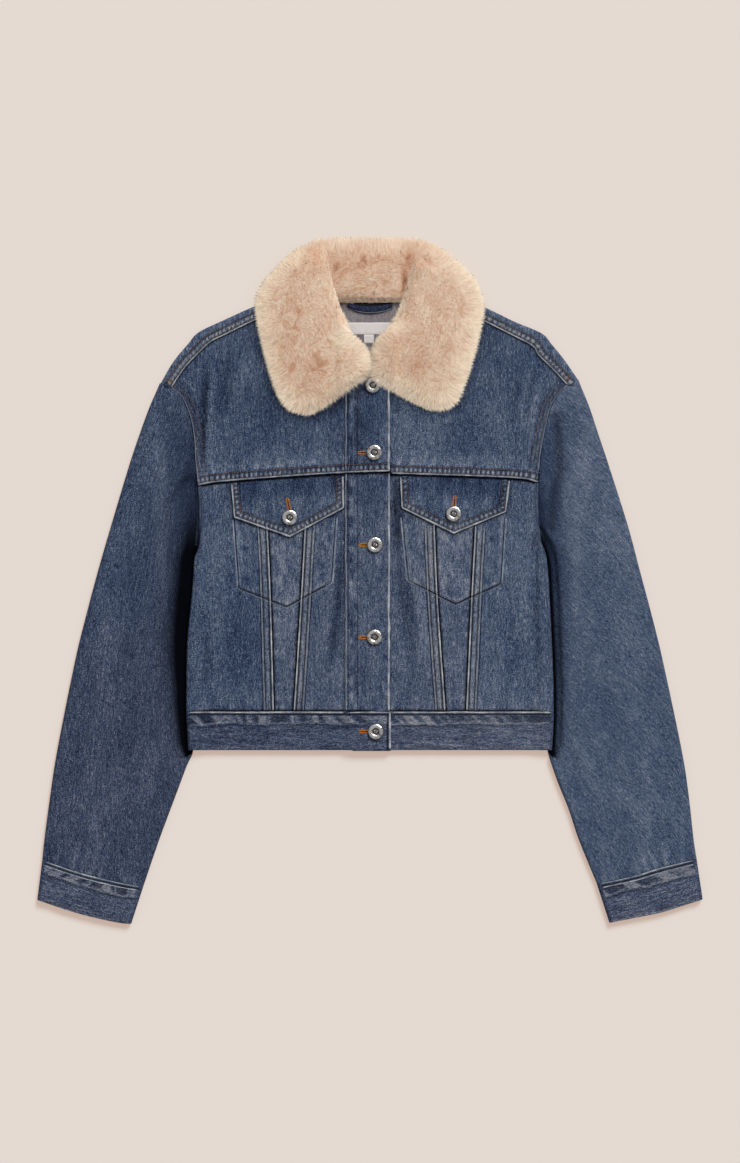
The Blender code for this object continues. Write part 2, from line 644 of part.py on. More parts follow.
def pocket_flap(side):
    """A pointed flap over the chest pocket, sewn in at the yoke seam."""
    outline = np.array(FLAP[side], float)
    top_left, top_right, right, tip, left = outline
    place = patch(np.array([left, tip, right]), np.linspace(top_left, top_right, 9),
                  np.linspace(left, top_left, 5), np.linspace(right, top_right, 5))
    u = np.linspace(0, 1, 9)
    rows = np.array([place(u, np.full(len(u), v)) for v in np.linspace(0, 1, 5)])
    rows = stack(rows, LAP_UNDER)
    return sheet(f"pocket_flap_{side}", rows, FLAP_WALL, DENIM)


def waistband():
    """One band from the left lap round the back to the right lap's end under it."""
    rows = []
    ys = np.linspace(WAIST_SEAM_Y - SEAM_GAP / 2, HEM_Y, 3)
    for y in ys:
        lap = [(LAP_EDGE_X + 1.2, BAND_LAP_TOP), (0.0, BAND_LAP_TOP),
               (LAP_RIDGE_X + LAP_RIDGE_WIDTH, BAND_LAP_TOP), (LAP_RIDGE_X - 0.5, BAND_TOP)]
        edge = {side: float(side_x[side](y)) for side in SIDES}
        radius = (BAND_TOP - BAND_EDGE_DROP) / 2
        raised = {side: float(lift(edge[side], y)) for side in SIDES}

        def top_height(x, side):
            inside = SIGN[side] * (edge[side] - x) - radius
            return BAND_TOP + (raised[side] - BAND_EDGE_DROP) * (1 - float(smooth(inside / EDGE_SLOPE)))

        path = list(lap)
        for x in np.linspace(LAP_RIDGE_X - 25, edge["left"] + radius + 24, 5):
            path.append((x, BAND_TOP))
        for inside in (18, 12, 6, 0):
            x = edge["left"] + radius + inside
            path.append((x, top_height(x, "left")))
        center = raised["left"] + radius
        for turn in np.radians([30, 60, 90, 120, 150]):
            path.append((edge["left"] + radius * (1 - math.sin(turn)), center + radius * math.cos(turn)))
        under_left = edge["left"] + radius + np.array([0, 1.5, 3, 5, 7, 9, 11, 14, 20])
        under_right = edge["right"] - radius - np.array([20, 14, 11, 9, 7, 5, 3, 1.5, 0])
        middle = np.linspace(under_left[-1], under_right[0], 8)[1:-1]
        for x in [*under_left, *middle, *under_right]:
            path.append((x, float(lift(x, y))))
        center = raised["right"] + radius
        for turn in np.radians([150, 120, 90, 60, 30]):
            path.append((edge["right"] - radius * (1 - math.sin(turn)), center + radius * math.cos(turn)))
        for inside in (0, 6, 12, 18):
            x = edge["right"] - radius - inside
            path.append((x, top_height(x, "right")))
        for x in np.linspace(edge["right"] - radius - 24, STAND_EDGE_X + 20, 5):
            path.append((x, BAND_TOP))
        path.append((STAND_EDGE_X, BAND_TOP))
        rows.append([(x, y, z) for x, z in path])
    return sheet("waistband", np.array(rows), BAND_WALL, DENIM, outward=False)


def ridge_height(ridges, x, y):
    """Soft ridges along line segments, fading out at both ends."""
    total = np.zeros(np.shape(x))
    for start, end, half, height in ridges:
        (x0, y0), (x1, y1) = start, end
        length = math.hypot(x1 - x0, y1 - y0)
        dx, dy = (x1 - x0) / length, (y1 - y0) / length
        t = ((x - x0) * dx + (y - y0) * dy) / length
        away = (x - x0) * dy - (y - y0) * dx
        ends = smooth((t + 0.15) / 0.3) * smooth((1.15 - t) / 0.3)
        total = total + height * ends * np.exp(-((away / half) ** 2))
    return total


def sleeve_height(side, x, y):
    """Top of the sleeve: its crown, a low ridge along the trough beside the body, and the trough."""
    sign = SIGN[side]
    beside = sign * (x - np.where(y > HEM_Y - 8, side_x[side](y), sign * 120.0))
    width = trough_width[side](y)
    crown = FRONT_TOP + 1.0 * smooth((150 - y) / 120.0) + ridge_height(SLEEVE_RIDGES[side], x, y)
    crown = crown + 1.6 * np.exp(-(((beside - width - 7) / 7) ** 2)) * smooth((110 - y) / 60.0)
    if side == "right":
        fold = at_y(ARMHOLE_FOLD)
        within = smooth((192 - y) / 12.0) * smooth((y - 48) / 12.0)
        crown = crown - ARMHOLE_FOLD_DEPTH * within * np.exp(-(((x - fold(y)) / ARMHOLE_FOLD_HALF) ** 2))
    in_trough = (1 - smooth((beside - width) / 5.0)) * smooth((120 - y) / 10.0)
    in_trough = np.where(width > 0.2, in_trough, 0.0)
    low = TUCK_MARGIN + (crown - TUCK_MARGIN) * smooth((HEM_Y - 3 - y) / 14.0)
    return crown + (low - crown) * in_trough


def tube_rings(place, levels, height, top_marks, bottom_count=4):
    """Rings of a flattened tube: fold, top, fold and flat underside, from its outer to its inner edge."""
    rings = []
    quarter = np.radians([30, 60])
    for v in levels:
        across = place(np.linspace(0.0, 1.0, 5), np.full(5, v))
        width = np.linalg.norm(np.diff(across, axis=0), axis=1).sum()
        edge_points = place(np.array([0.0, 1.0]), np.full(2, v))
        tops = height(edge_points[:, 0], edge_points[:, 1])
        radii = np.minimum(tops / 2, FOLD_RADIUS_MOST)
        d_top = np.clip(top_marks(v, width, place), radii[0], width - radii[1])
        ring_d, ring_z = [], []
        for turn in quarter[::-1]:
            ring_d.append(radii[0] * (1 - math.sin(turn)))
            ring_z.append(("outer", math.cos(turn)))
        ring_d.extend(d_top)
        ring_z.extend([("top", 1.0)] * len(d_top))
        for turn in quarter:
            ring_d.append(width - radii[1] * (1 - math.sin(turn)))
            ring_z.append(("inner", math.cos(turn)))
        ring_d.append(width)
        ring_z.append(("inner", 0.0))
        for turn in quarter[::-1]:
            ring_d.append(width - radii[1] * (1 - math.sin(turn)))
            ring_z.append(("inner", -math.cos(turn)))
        d_low = np.linspace(width - radii[1], radii[0], bottom_count)
        ring_d.extend(d_low)
        ring_z.extend([("floor", -1.0)] * bottom_count)
        for turn in quarter:
            ring_d.append(radii[0] * (1 - math.sin(turn)))
            ring_z.append(("outer", -math.cos(turn)))
        ring_d.append(0.0)
        ring_z.append(("outer", 0.0))
        xy = place(np.array(ring_d) / width, np.full(len(ring_d), v))
        over = height(xy[:, 0], xy[:, 1])
        z = np.empty(len(xy))
        for k, (kind, share) in enumerate(ring_z):
            if kind == "top":
                z[k] = over[k]
            elif kind == "floor":
                z[k] = 0.0
            else:
                top = tops[0] if kind == "outer" else tops[1]
                z[k] = top / 2 * (1 + share)
        rings.append(np.concatenate([xy, z[:, None]], axis=1))
    return np.array(rings)


def sleeve_place(side):
    """The sleeve seen from above: u from its outer to its inner edge, v from armhole to cuff."""
    sign = SIGN[side]
    armhole = spline(ARMHOLE[side]) + (sign * (ARMHOLE_GAP - SEAM_GAP / 2), 0)
    cuff = spline(CUFF_SEAM[side]) + (0, SEAM_GAP)
    outer = spline(SLEEVE_OUTER[side])
    inner = spline(SLEEVE_INNER[side], 90)
    outer[0], outer[-1] = armhole[0], cuff[0]
    inner[0], inner[-1] = armhole[-1], cuff[-1]
    return patch(armhole, cuff, outer, inner)


def sleeve(side):
    place = sleeve_place(side)

    def height(x, y):
        return sleeve_height(side, x, y)

    def marks(v, width, where):
        """Distances across the top, with a group of them at the trough's outer wall."""
        u = np.linspace(0.3, 1.0, 141)
        xy = where(u, np.full(len(u), v))
        beside = SIGN[side] * (xy[:, 0] - side_x[side](xy[:, 1]))
        width_here = trough_width[side](xy[:, 1])
        inside = (beside < width_here) & (width_here > 0.2) & (xy[:, 1] > HEM_Y)
        wall = width * (1 - u[inside].min()) if inside.any() else 6.0
        wall = min(max(wall, 6.0), width * 0.5)
        from_inner = np.array([0.0, 0.5 * wall, wall - 0.5, wall + 2, wall + 4.5, wall + 9, wall + 18])
        rest = np.linspace(0.0, width - wall - 32, 7)
        return np.concatenate([rest, width - from_inner[::-1]])

    inner = spline(SLEEVE_INNER[side], 200)
    run = np.concatenate([[0.0], np.cumsum(np.linalg.norm(np.diff(inner, axis=0), axis=1))])
    hem = float(np.interp(-HEM_Y + 4.0, -inner[:, 1], run / run[-1]))
    levels = np.concatenate([[0.0, 0.02, 0.05, 0.09], np.linspace(0.14, hem, 9), [hem + 0.04],
                             np.linspace(hem + 0.1, 1.0, 4)])
    rings = tube_rings(place, levels, height, marks)
    over = sleeve_height(side, rings[..., 0], rings[..., 1])
    wall = np.maximum(SLEEVE_WALL_LEAST, (over - BODY_SPACE) / 2)
    edge = np.minimum(over, 12.0)
    wall = np.minimum(wall, np.maximum(SLEEVE_WALL_LEAST, edge * 0.32))
    if side == "left":
        rings, wall = rings[:, ::-1], wall[:, ::-1]
    return sheet(f"sleeve_{side}", rings, wall, DENIM, outward=False, round_columns=True)


def cuff(side):
    top = spline(CUFF_SEAM[side])
    bottom = spline(CUFF_HEM[side])
    place = patch(top, bottom, np.linspace(top[0], bottom[0], 12), np.linspace(top[-1], bottom[-1], 12))

    def height(x, y):
        return np.full(np.shape(x), CUFF_HEIGHT)

    def marks(v, width, where):
        return np.linspace(FOLD_RADIUS_MOST, width - FOLD_RADIUS_MOST, 6)

    rings = tube_rings(place, np.linspace(0, 1, 4), height, marks)
    if side == "left":
        rings = rings[:, ::-1]
    return sheet(f"cuff_{side}", rings, CUFF_WALL, DENIM, outward=False, round_columns=True)


def loft(name, rings, color, collection=None):
    """A closed solid through rings of points, with a fan at each end."""
    rings = np.asarray(rings, float) * MM
    bm = bmesh.new()
    verts = [[bm.verts.new(p) for p in ring] for ring in rings]
    width = rings.shape[1]
    for low, high in zip(verts, verts[1:]):
        for j in range(width):
            k = (j + 1) % width
            bm.faces.new((low[j], low[k], high[k], high[j]))
    for ring, points, turned in ((verts[0], rings[0], True), (verts[-1], rings[-1], False)):
        middle = bm.verts.new(points.mean(axis=0))
        for j in range(width):
            k = (j + 1) % width
            bm.faces.new((ring[k], ring[j], middle) if turned else (ring[j], ring[k], middle))
    bmesh.ops.recalc_face_normals(bm, faces=bm.faces)
    mesh = bpy.data.meshes.new(name)
    bm.to_mesh(mesh)
    bm.free()
    mesh.shade_smooth()
    return add_object(name, mesh, color, collection=collection)


def leaf_base(side, x):
    """Underside of a collar leaf: on the yoke, and higher over the front lap."""
    over_lap = LAP_TOP - FRONT_TOP
    if side == "left":
        return FRONT_TOP + LEAF_CLEARANCE + over_lap * smooth((x + 40) / 9.0)
    return FRONT_TOP + LEAF_CLEARANCE + over_lap * (1 - smooth((x - 26) / 10.0))


def pad_ring(inner, outer, base, crest, count=8):
    """A section of soft pile: flat below, rounded over the top, fuller at the inner edge."""
    edge_share = 0.28  # height of the pile's edges
    fall = 0.22  # from the inner to the outer edge
    turns = np.linspace(0, math.pi, count)
    t = 0.5 - 0.5 * np.cos(turns)
    round_over = np.sin(turns) ** 0.55
    xy = inner + (outer - inner) * t[:, None]
    crown = crest * (1 - fall * t)
    bottom = base(xy)
    top = bottom + crown * (edge_share + (1 - edge_share) * round_over)
    low = bottom + edge_share * crown * (1 - round_over)
    upper = np.concatenate([xy, top[:, None]], axis=1)
    lower = np.concatenate([xy, low[:, None]], axis=1)[1:-1][::-1]
    return np.vstack([upper, lower])


def fine_rows(table, count):
    """Rows between those of a table, along a smooth curve through each column."""
    flat = np.array([np.concatenate([np.atleast_1d(cell).ravel() for cell in row]) for row in table], float)
    wanted = np.linspace(0, len(flat) - 1, count)
    index = np.clip(wanted.astype(int), 0, len(flat) - 2)
    t = (wanted - index)[:, None]
    ends = np.vstack([2 * flat[0] - flat[1], flat, 2 * flat[-1] - flat[-2]])
    a, b, c, d = (ends[index + k] for k in range(4))
    return 0.5 * (2 * b + (c - a) * t + (2 * a - 5 * b + 4 * c - d) * t**2 + (3 * b - a - 3 * c + d) * t**3)


def collar_leaf(side, name, collection=None):
    rings = []
    for row in fine_rows(LEAF[side], 17):
        inner, outer, crest = row[0:2], row[2:4], row[4]
        rings.append(pad_ring(inner, outer, lambda xy: leaf_base(side, xy[:, 0]), crest))
    return loft(name, rings, FUR, collection)


def fur_collar():
    """Two leaves and the back stand between them, joined into one soft collar."""
    rings = []
    for row in fine_rows(STAND, 15):
        x, low, high, crest = row
        ring = pad_ring(np.array([x, low]), np.array([x, high]), lambda xy: np.zeros(len(xy)), crest)
        rings.append(ring)
    collar = loft("fur_collar", rings, FUR)
    for side in SIDES:
        leaf = collar_leaf(side, f"collar_leaf_{side}_tool", CUTTERS)
        leaf.hide_render = True
        leaf.display_type = "WIRE"
        join = collar.modifiers.new(f"Leaf {side}", "BOOLEAN")
        join.operation = "UNION"
        join.object = leaf
    return collar


def button(name, place, seat):
    """A turned shank button: a domed ring round a recessed centre."""
    r = BUTTON_RADIUS
    # radius, height: the sunk centre, the domed ring and the back
    profile = [(0.0, 1.9), (0.40 * r, 2.0), (0.50 * r, 3.1), (0.72 * r, 3.5), (0.93 * r, 2.4), (r, 1.2),
               (0.90 * r, 0.0), (0.0, 0.0)]
    mesh = bpy.data.meshes.new(name)
    mesh.from_pydata([(x * MM, 0, z * MM) for x, z in profile], [(k, k + 1) for k in range(7)], [])
    obj = add_object(name, mesh, NICKEL, 0.3, 1.0)
    screw = obj.modifiers.new("Turn", "SCREW")
    screw.steps = screw.render_steps = 14
    screw.use_merge_vertices = True
    screw.merge_threshold = 0.00001
    screw.use_smooth_shade = True
    obj.location = (place[0] * MM, place[1] * MM, (seat + SEAT_GAP) * MM)
    return obj


def strap(name, size, place, color):
    """A flat rectangular piece lying on the back yoke's inside."""
    bm = bmesh.new()
    bmesh.ops.create_cube(bm, size=1.0)
    for vert in bm.verts:
        vert.co.x *= size[0] * MM
        vert.co.y *= size[1] * MM
        vert.co.z *= size[2] * MM
    mesh = bpy.data.meshes.new(name)
    bm.to_mesh(mesh)
    bm.free()
    obj = add_object(name, mesh, color, 0.8)
    obj.location = (place[0] * MM, place[1] * MM, (BODY_WALL + SEAT_GAP + size[2] / 2) * MM)
    bevel = obj.modifiers.new("Edge", "BEVEL")
    bevel.width = min(size[2] * 0.35, 0.5) * MM
    bevel.segments = 1
    return obj


def center_on_floor():
    """Moves everything so that the box's bottom centre is the origin."""
    bpy.context.view_layer.update()
    graph = bpy.context.evaluated_depsgraph_get()
    corners = []
    for obj in PARTS.objects:
        evaluated = obj.evaluated_get(graph)
        mesh = evaluated.to_mesh()
        points = np.empty(len(mesh.vertices) * 3, np.float32)
        mesh.vertices.foreach_get("co", points)
        world = np.array(evaluated.matrix_world)
        points = points.reshape(-1, 3) @ world[:3, :3].T + world[:3, 3]
        corners += [points.min(axis=0), points.max(axis=0)]
        evaluated.to_mesh_clear()
    low, high = np.min(corners, axis=0), np.max(corners, axis=0)
    shift = ((low[0] + high[0]) / 2, (low[1] + high[1]) / 2, low[2])
    for obj in [*PARTS.objects, *CUTTERS.objects]:
        for axis in range(3):
            obj.location[axis] -= shift[axis]


for leftover in list(bpy.data.objects):
    bpy.data.objects.remove(leftover, do_unlink=True)
PARTS = parts_collection(JACKET)
CUTTERS = parts_collection("cutters")

back_panel()
back_yoke()
center_and_mid_fronts()
for hand in SIDES:
    side_front(hand)
    front_yoke(hand)
    pocket_flap(hand)
    sleeve(hand)
    cuff(hand)
waistband()
fur_collar()
for number, spot in enumerate(FRONT_BUTTONS, start=1):
    button(f"button_front_{number}", spot, BAND_LAP_TOP if number == 5 else LAP_TOP)
for hand in SIDES:
    button(f"button_pocket_{hand}", FLAP_BUTTONS[hand], LAP_UNDER + FLAP_WALL)
strap("hanger_loop", LOOP_SIZE, LOOP_PLACE, NAVY)
strap("neck_label", LABEL_SIZE, LABEL_PLACE, SATIN)
strap("size_tab", TAB_SIZE, TAB_PLACE, SATIN)
center_on_floor()
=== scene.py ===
"""The looks of a cropped denim jacket with a fur collar, laid flat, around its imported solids.

Millimetres in the tables and metres in the scene. X runs across the jacket, Y towards its collar and Z up
from the floor. The outlines and heights repeat those of the solids, on finer grids, with the creases,
puckers, sewing and pile that the solids leave out.
"""

import math

import bpy
import numpy as np
from mathutils.bvhtree import BVHTree
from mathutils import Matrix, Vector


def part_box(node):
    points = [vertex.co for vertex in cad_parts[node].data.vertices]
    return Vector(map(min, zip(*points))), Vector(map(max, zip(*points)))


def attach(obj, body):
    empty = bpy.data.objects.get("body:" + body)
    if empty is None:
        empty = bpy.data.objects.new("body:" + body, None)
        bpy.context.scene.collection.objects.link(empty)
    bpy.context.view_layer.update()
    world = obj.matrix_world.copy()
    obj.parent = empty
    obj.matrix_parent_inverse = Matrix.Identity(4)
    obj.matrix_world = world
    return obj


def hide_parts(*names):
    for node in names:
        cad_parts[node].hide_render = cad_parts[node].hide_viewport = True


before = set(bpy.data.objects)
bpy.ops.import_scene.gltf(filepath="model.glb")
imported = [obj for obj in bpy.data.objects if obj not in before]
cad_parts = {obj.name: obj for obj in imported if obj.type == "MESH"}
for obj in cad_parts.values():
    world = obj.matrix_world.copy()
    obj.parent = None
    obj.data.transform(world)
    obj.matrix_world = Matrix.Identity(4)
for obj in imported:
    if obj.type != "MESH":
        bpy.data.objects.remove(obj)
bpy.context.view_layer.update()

MM = 0.001

# Cloth, as in the solids
BODY_WALL = 1.8
PLACKET_WALL = 2.2
BAND_WALL = 2.4
CUFF_HEIGHT = 9.0
FLAP_WALL = 2.0
BODY_SPACE = 3.8
EDGE_HEIGHT = 6.6
SEAM_GAP = 0.32
ARMHOLE_GAP = 0.75
YOKE_GAP = 1.0
LAP_GAP = 0.35
TUCK_LIFT = 3.5
TUCK_MARGIN = 3.1
LIFT_START = 8.5
LIFT_SLOPE = 6.0
LIFT_ABOVE_UNDERARM = 13.0
LIFT_ENDS = 9.0
UNDERARM_TURN = 16.0
EDGE_FLAT, EDGE_SLOPE = 3.0, 22.0
FOLD_RADIUS_MOST = 4.5
STRIP_WIDTH = 11.3
STRIP_RAISE = 0.9
STRIP_TOP_Y = 56.0
STRIP_FADE = 7.0
YOKE_BAND_WIDTH = 10.5
YOKE_BAND_RAISE = 0.8
FRONT_UNDER = BODY_WALL + BODY_SPACE
FRONT_TOP = FRONT_UNDER + BODY_WALL
LAP_UNDER = FRONT_TOP + LAP_GAP
LAP_TOP = LAP_UNDER + PLACKET_WALL
BAND_SPACE = 3.4
BAND_TOP = 2 * BAND_WALL + BAND_SPACE
BAND_EDGE_DROP = 1.0
BAND_LAP_TOP = BAND_TOP + LAP_GAP + BAND_WALL
LAP_RIDGE_X = -28.0
LAP_RIDGE_WIDTH = 4.5
LAP_EDGE_X = 21.6
STAND_EDGE_X = -19.8
WAIST_SEAM_Y = -142.5
HEM_Y = -185.0
BACK_YOKE_Y = 130.0
LEAF_CLEARANCE = 0.45

# Outlines, as in the solids, each row (x, y). Left is -X.
ARMHOLE = {
    "left": [(-231, 218.9), (-217.8, 214.5), (-206.8, 202.4), (-200.2, 188), (-196.4, 175), (-193.6, 155),
             (-192.5, 134), (-189.2, 105.6), (-188.1, 70.4), (-189.8, 39.6)],
    "right": [(228.8, 223.3), (216.7, 216.7), (206.8, 205.7), (199.1, 192.5), (194.7, 175), (191.4, 159.5),
              (188.1, 142), (186.5, 124), (185.7, 108.9), (185.6, 80.3), (187.6, 50.6)],
}
SIDE = {
    "left": [(-189.8, 39.6), (-193.6, 26.4), (-195.8, -8.8), (-201.3, -65), (-202.4, -119), (-202.4, -143),
             (-200.2, -187)],
    "right": [(187.6, 50.6), (194.7, 25.3), (198.0, -18.7), (201.3, -88), (202.4, -130), (201.9, -157),
              (200.2, -187)],
}
SHOULDER_FOLD = {
    "left": [(-231, 218.9), (-216.7, 243.1), (-200.2, 262.9), (-189.2, 275), (-159.5, 289.3),
             (-127.6, 303.6), (-77, 324), (-66, 328)],
    "right": [(228.8, 223.3), (214.5, 244.2), (200.2, 261.8), (189.2, 273.9), (158.4, 287.1),
              (126.5, 302.5), (77, 324), (66, 328)],
}
FORWARD_SEAM = {
    "left": [(-217.8, 214.5), (-203.5, 235.4), (-188.1, 251.9), (-174.9, 264), (-159.5, 271.7),
             (-125.4, 288.2), (-77, 308), (-66, 312)],
    "right": [(216.7, 216.7), (199.1, 235.4), (184.8, 249.7), (178.2, 259.6), (155.1, 271.7),
              (124.3, 287.1), (77, 308), (66, 312)],
}
FRONT_NECK = {
    "left": [(-66, 312), (-54, 303), (-42, 292), (-30, 277), (-14, 256), (0, 241), (10, 235), (21.6, 232)],
    "right": [(66, 312), (54, 303), (42, 292), (30, 277), (14, 256), (0, 241), (-10, 235), (-19.8, 232)],
}
BACK_NECK = [(-66, 328), (-58, 316), (-46, 308), (-30, 305.3), (30, 305.3), (46, 308), (58, 316), (66, 328)]
YOKE_SEAM = {
    "left": [(-189.2, 105.6), (-165, 109.5), (-89, 115.5), (-26.4, 119.4), (21.6, 121)],
    "right": [(-19.8, 118.6), (25.3, 118.3), (154, 113.9), (185.7, 108.9)],
}
OUTER_SEAM = {
    "left": [(-105.6, WAIST_SEAM_Y), (-108.9, -19.8), (-112.2, 56), (-114.8, 115)],
    "right": [(105.6, WAIST_SEAM_Y), (111.1, -19.8), (115.5, 62.7), (118.3, 117)],
}
INNER_SEAM = {
    "left": [(-84.2, WAIST_SEAM_Y), (-76.5, -19.8), (-72.2, 57), (-68.9, 117)],
    "right": [(83.3, WAIST_SEAM_Y), (74.8, -19.8), (71.3, 62.7), (69.1, 117)],
}
FLAP = {
    "left": [(-152.9, 108.9), (-29.3, 117), (-28.6, 81.4), (-88.2, 49.5), (-149.6, 71)],
    "right": [(33, 116.4), (154, 112), (149.6, 77), (92.1, 53.2), (34.7, 81.4)],
}
SLEEVE_OUTER = {
    "left": [(-231, 218.9), (-242, 194.7), (-254.1, 161.7), (-265.1, 128.7), (-284.9, 62.7), (-299.2, 13.2),
             (-312.4, -36.3), (-324.5, -85.8), (-344.3, -184.8), (-352, -234.3), (-358.6, -283.8),
             (-360.8, -305.8)],
    "right": [(228.8, 223.3), (240.9, 194.7), (251.9, 161.7), (262.9, 128.7), (283.8, 62.7), (297, 13.2),
              (310.2, -36.3), (322.3, -85.8), (343.2, -184.8), (350.9, -234.3), (356.4, -283.8),
              (359.7, -304.7)],
}
SLEEVE_INNER = {
    "left": [(-189.8, 39.6), (-190.4, 28), (-190, 12), (-189.3, -15), (-190.3, -65), (-191.4, -119),
             (-192.5, -157), (-195, -187), (-201.3, -201.3), (-214.5, -236.5), (-232.1, -283.8),
             (-249.7, -335.5)],
    "right": [(187.6, 50.6), (189.2, 38), (190, 22), (190.1, -10), (190.3, -75), (191.4, -130),
              (193.6, -168), (196, -188), (205.7, -217.8), (218.9, -250.8), (229.9, -283.8),
              (249.7, -332.2)],
}
CUFF_SEAM = {
    "left": [(-360.8, -305.8), (-322.3, -319), (-283.8, -328.9), (-249.7, -335.5)],
    "right": [(359.7, -304.7), (319, -314.6), (290.4, -323.4), (249.7, -332.2)],
}
CUFF_HEM = {
    "left": [(-366.3, -349.8), (-334.4, -360.8), (-306.9, -368.5), (-276.1, -375.1), (-262.9, -376.2)],
    "right": [(366.3, -349.2), (338.8, -358.1), (319, -364.1), (291.5, -369.6), (263.5, -375.1)],
}
TROUGH = {
    "left": [(120, 0), (112, 14), (90, 29), (40, 27), (-20, 21), (-75, 16), (-119, 10), (-178, 6), (-194, 0)],
    "right": [(60, 0), (45, 7), (-20, 7), (-90, 6), (-178, 6), (-194, 0)],
}
ARMHOLE_FOLD = [(204.6, 184), (206.8, 146), (207.9, 125), (203.5, 103), (199, 62)]
ARMHOLE_FOLD_HALF = 6.5
ARMHOLE_FOLD_DEPTH = 2.6
SLEEVE_RIDGES = {
    "left": [
        ((-213, 150), (-222, 40), 11, 1.1),
        ((-236, 110), (-262, -20), 12, 0.8),
        ((-222, -20), (-228, -150), 8, 0.9),
        ((-290, 20), (-335, -180), 14, 0.7),
        ((-300, -150), (-320, -280), 11, 0.8),
    ],
    "right": [
        ((214, 150), (222, 40), 10, 1.2),
        ((240, 110), (262, -20), 12, 0.7),
        ((218, -30), (226, -160), 9, 0.9),
        ((262, -60), (300, -240), 12, 0.8),
    ],
}
# Fur collar leaves, from the front end up: inner (roll) edge, outer edge and crest height over the yoke
LEAF = {
    "left": [
        ((-5, 231), (-72, 186), 9.0),
        ((-3, 240), (-86, 189), 14.0),
        ((-8, 260), (-97, 200), 16.5),
        ((-20, 279), (-105, 219), 18.0),
        ((-30, 297), (-113, 246), 18.5),
        ((-35, 310), (-121, 280), 18.5),
        ((-39, 323), (-124, 306), 18.0),
        ((-42, 336), (-117, 326), 17.5),
        ((-45, 349), (-103, 342), 16.5),
        ((-49, 360), (-88, 357), 11.0),
        ((-53, 368), (-74, 367.5), 6.0),
    ],
    "right": [
        ((5, 229), (69, 190), 9.0),
        ((6, 240), (88, 192), 14.0),
        ((9, 262), (97, 203), 16.5),
        ((20, 278), (105, 224), 18.0),
        ((29, 292), (113, 250), 18.5),
        ((34, 307), (121, 282), 18.5),
        ((38, 321), (123, 304), 18.0),
        ((42, 334), (118, 323), 17.5),
        ((45, 347), (106, 340), 16.5),
        ((48, 358), (86, 358), 10.0),
        ((50, 367), (72, 368), 5.0),
    ],
}
# Back stand of the collar: x, lower y, upper y, crest height over the floor
STAND = [
    (-74, 331, 366, 12.0),
    (-58, 317.5, 374, 16.5),
    (-46, 309.8, 375.5, 17.5),
    (-30, 307.3, 376.1, 18.5),
    (0, 307.3, 376.2, 19.0),
    (30, 307.3, 376.1, 18.5),
    (46, 309.8, 375.5, 17.5),
    (58, 317.5, 374, 16.5),
    (74, 331, 366, 12.0),
]
# Where the tips of the pile end round each leaf's front, from the roll edge to the outer edge
FRINGE_FRONT = {
    "left": [(-22, 272), (-7.0, 258), (1.0, 247), (1.5, 233), (-3.5, 221), (-13.0, 212), (-24.8, 204.5),
             (-38.5, 196.5), (-52, 189.5), (-69, 185), (-86, 189)],
    "right": [(22, 278), (6.5, 263.5), (-2.0, 249.7), (-4.0, 238.7), (-1.0, 226.0), (6.5, 216.5),
              (19.3, 211.5), (33, 205.5), (49.5, 197.5), (66, 191), (84, 191)],
}
BUTTON_RADIUS = 8.75
FRONT_BUTTONS = [(3.3, 216.5), (4.8, 142.6), (5.5, 41.0), (5.0, -60.5), (6.4, -164.3)]
FLAP_BUTTONS = {"left": (-88.2, 71.0), "right": (92.1, 75.0)}
SEAT_GAP = 0.3
LOOP_SIZE, LOOP_PLACE = (49.0, 7.2, 1.7), (0.0, 302.0)
LOOP_SAG = 5.4
LABEL_SIZE, LABEL_PLACE = (52.0, 13.0, 0.6), (-1.0, 279.4)
TAB_SIZE, TAB_PLACE = (11.0, 9.4, 0.5), (-1.1, 267.8)

# Pocket bags, sewn through the fronts below the flaps
POCKET_BAG = {
    "left": [(-149.6, 69), (-144.1, -6.6), (-91.7, -27), (-42.5, -0.4), (-37.4, 73.7)],
    "right": [(35.2, 73.7), (42.2, 2.2), (94, -24.2), (143.9, -1.7), (148.5, 75.4)],
}
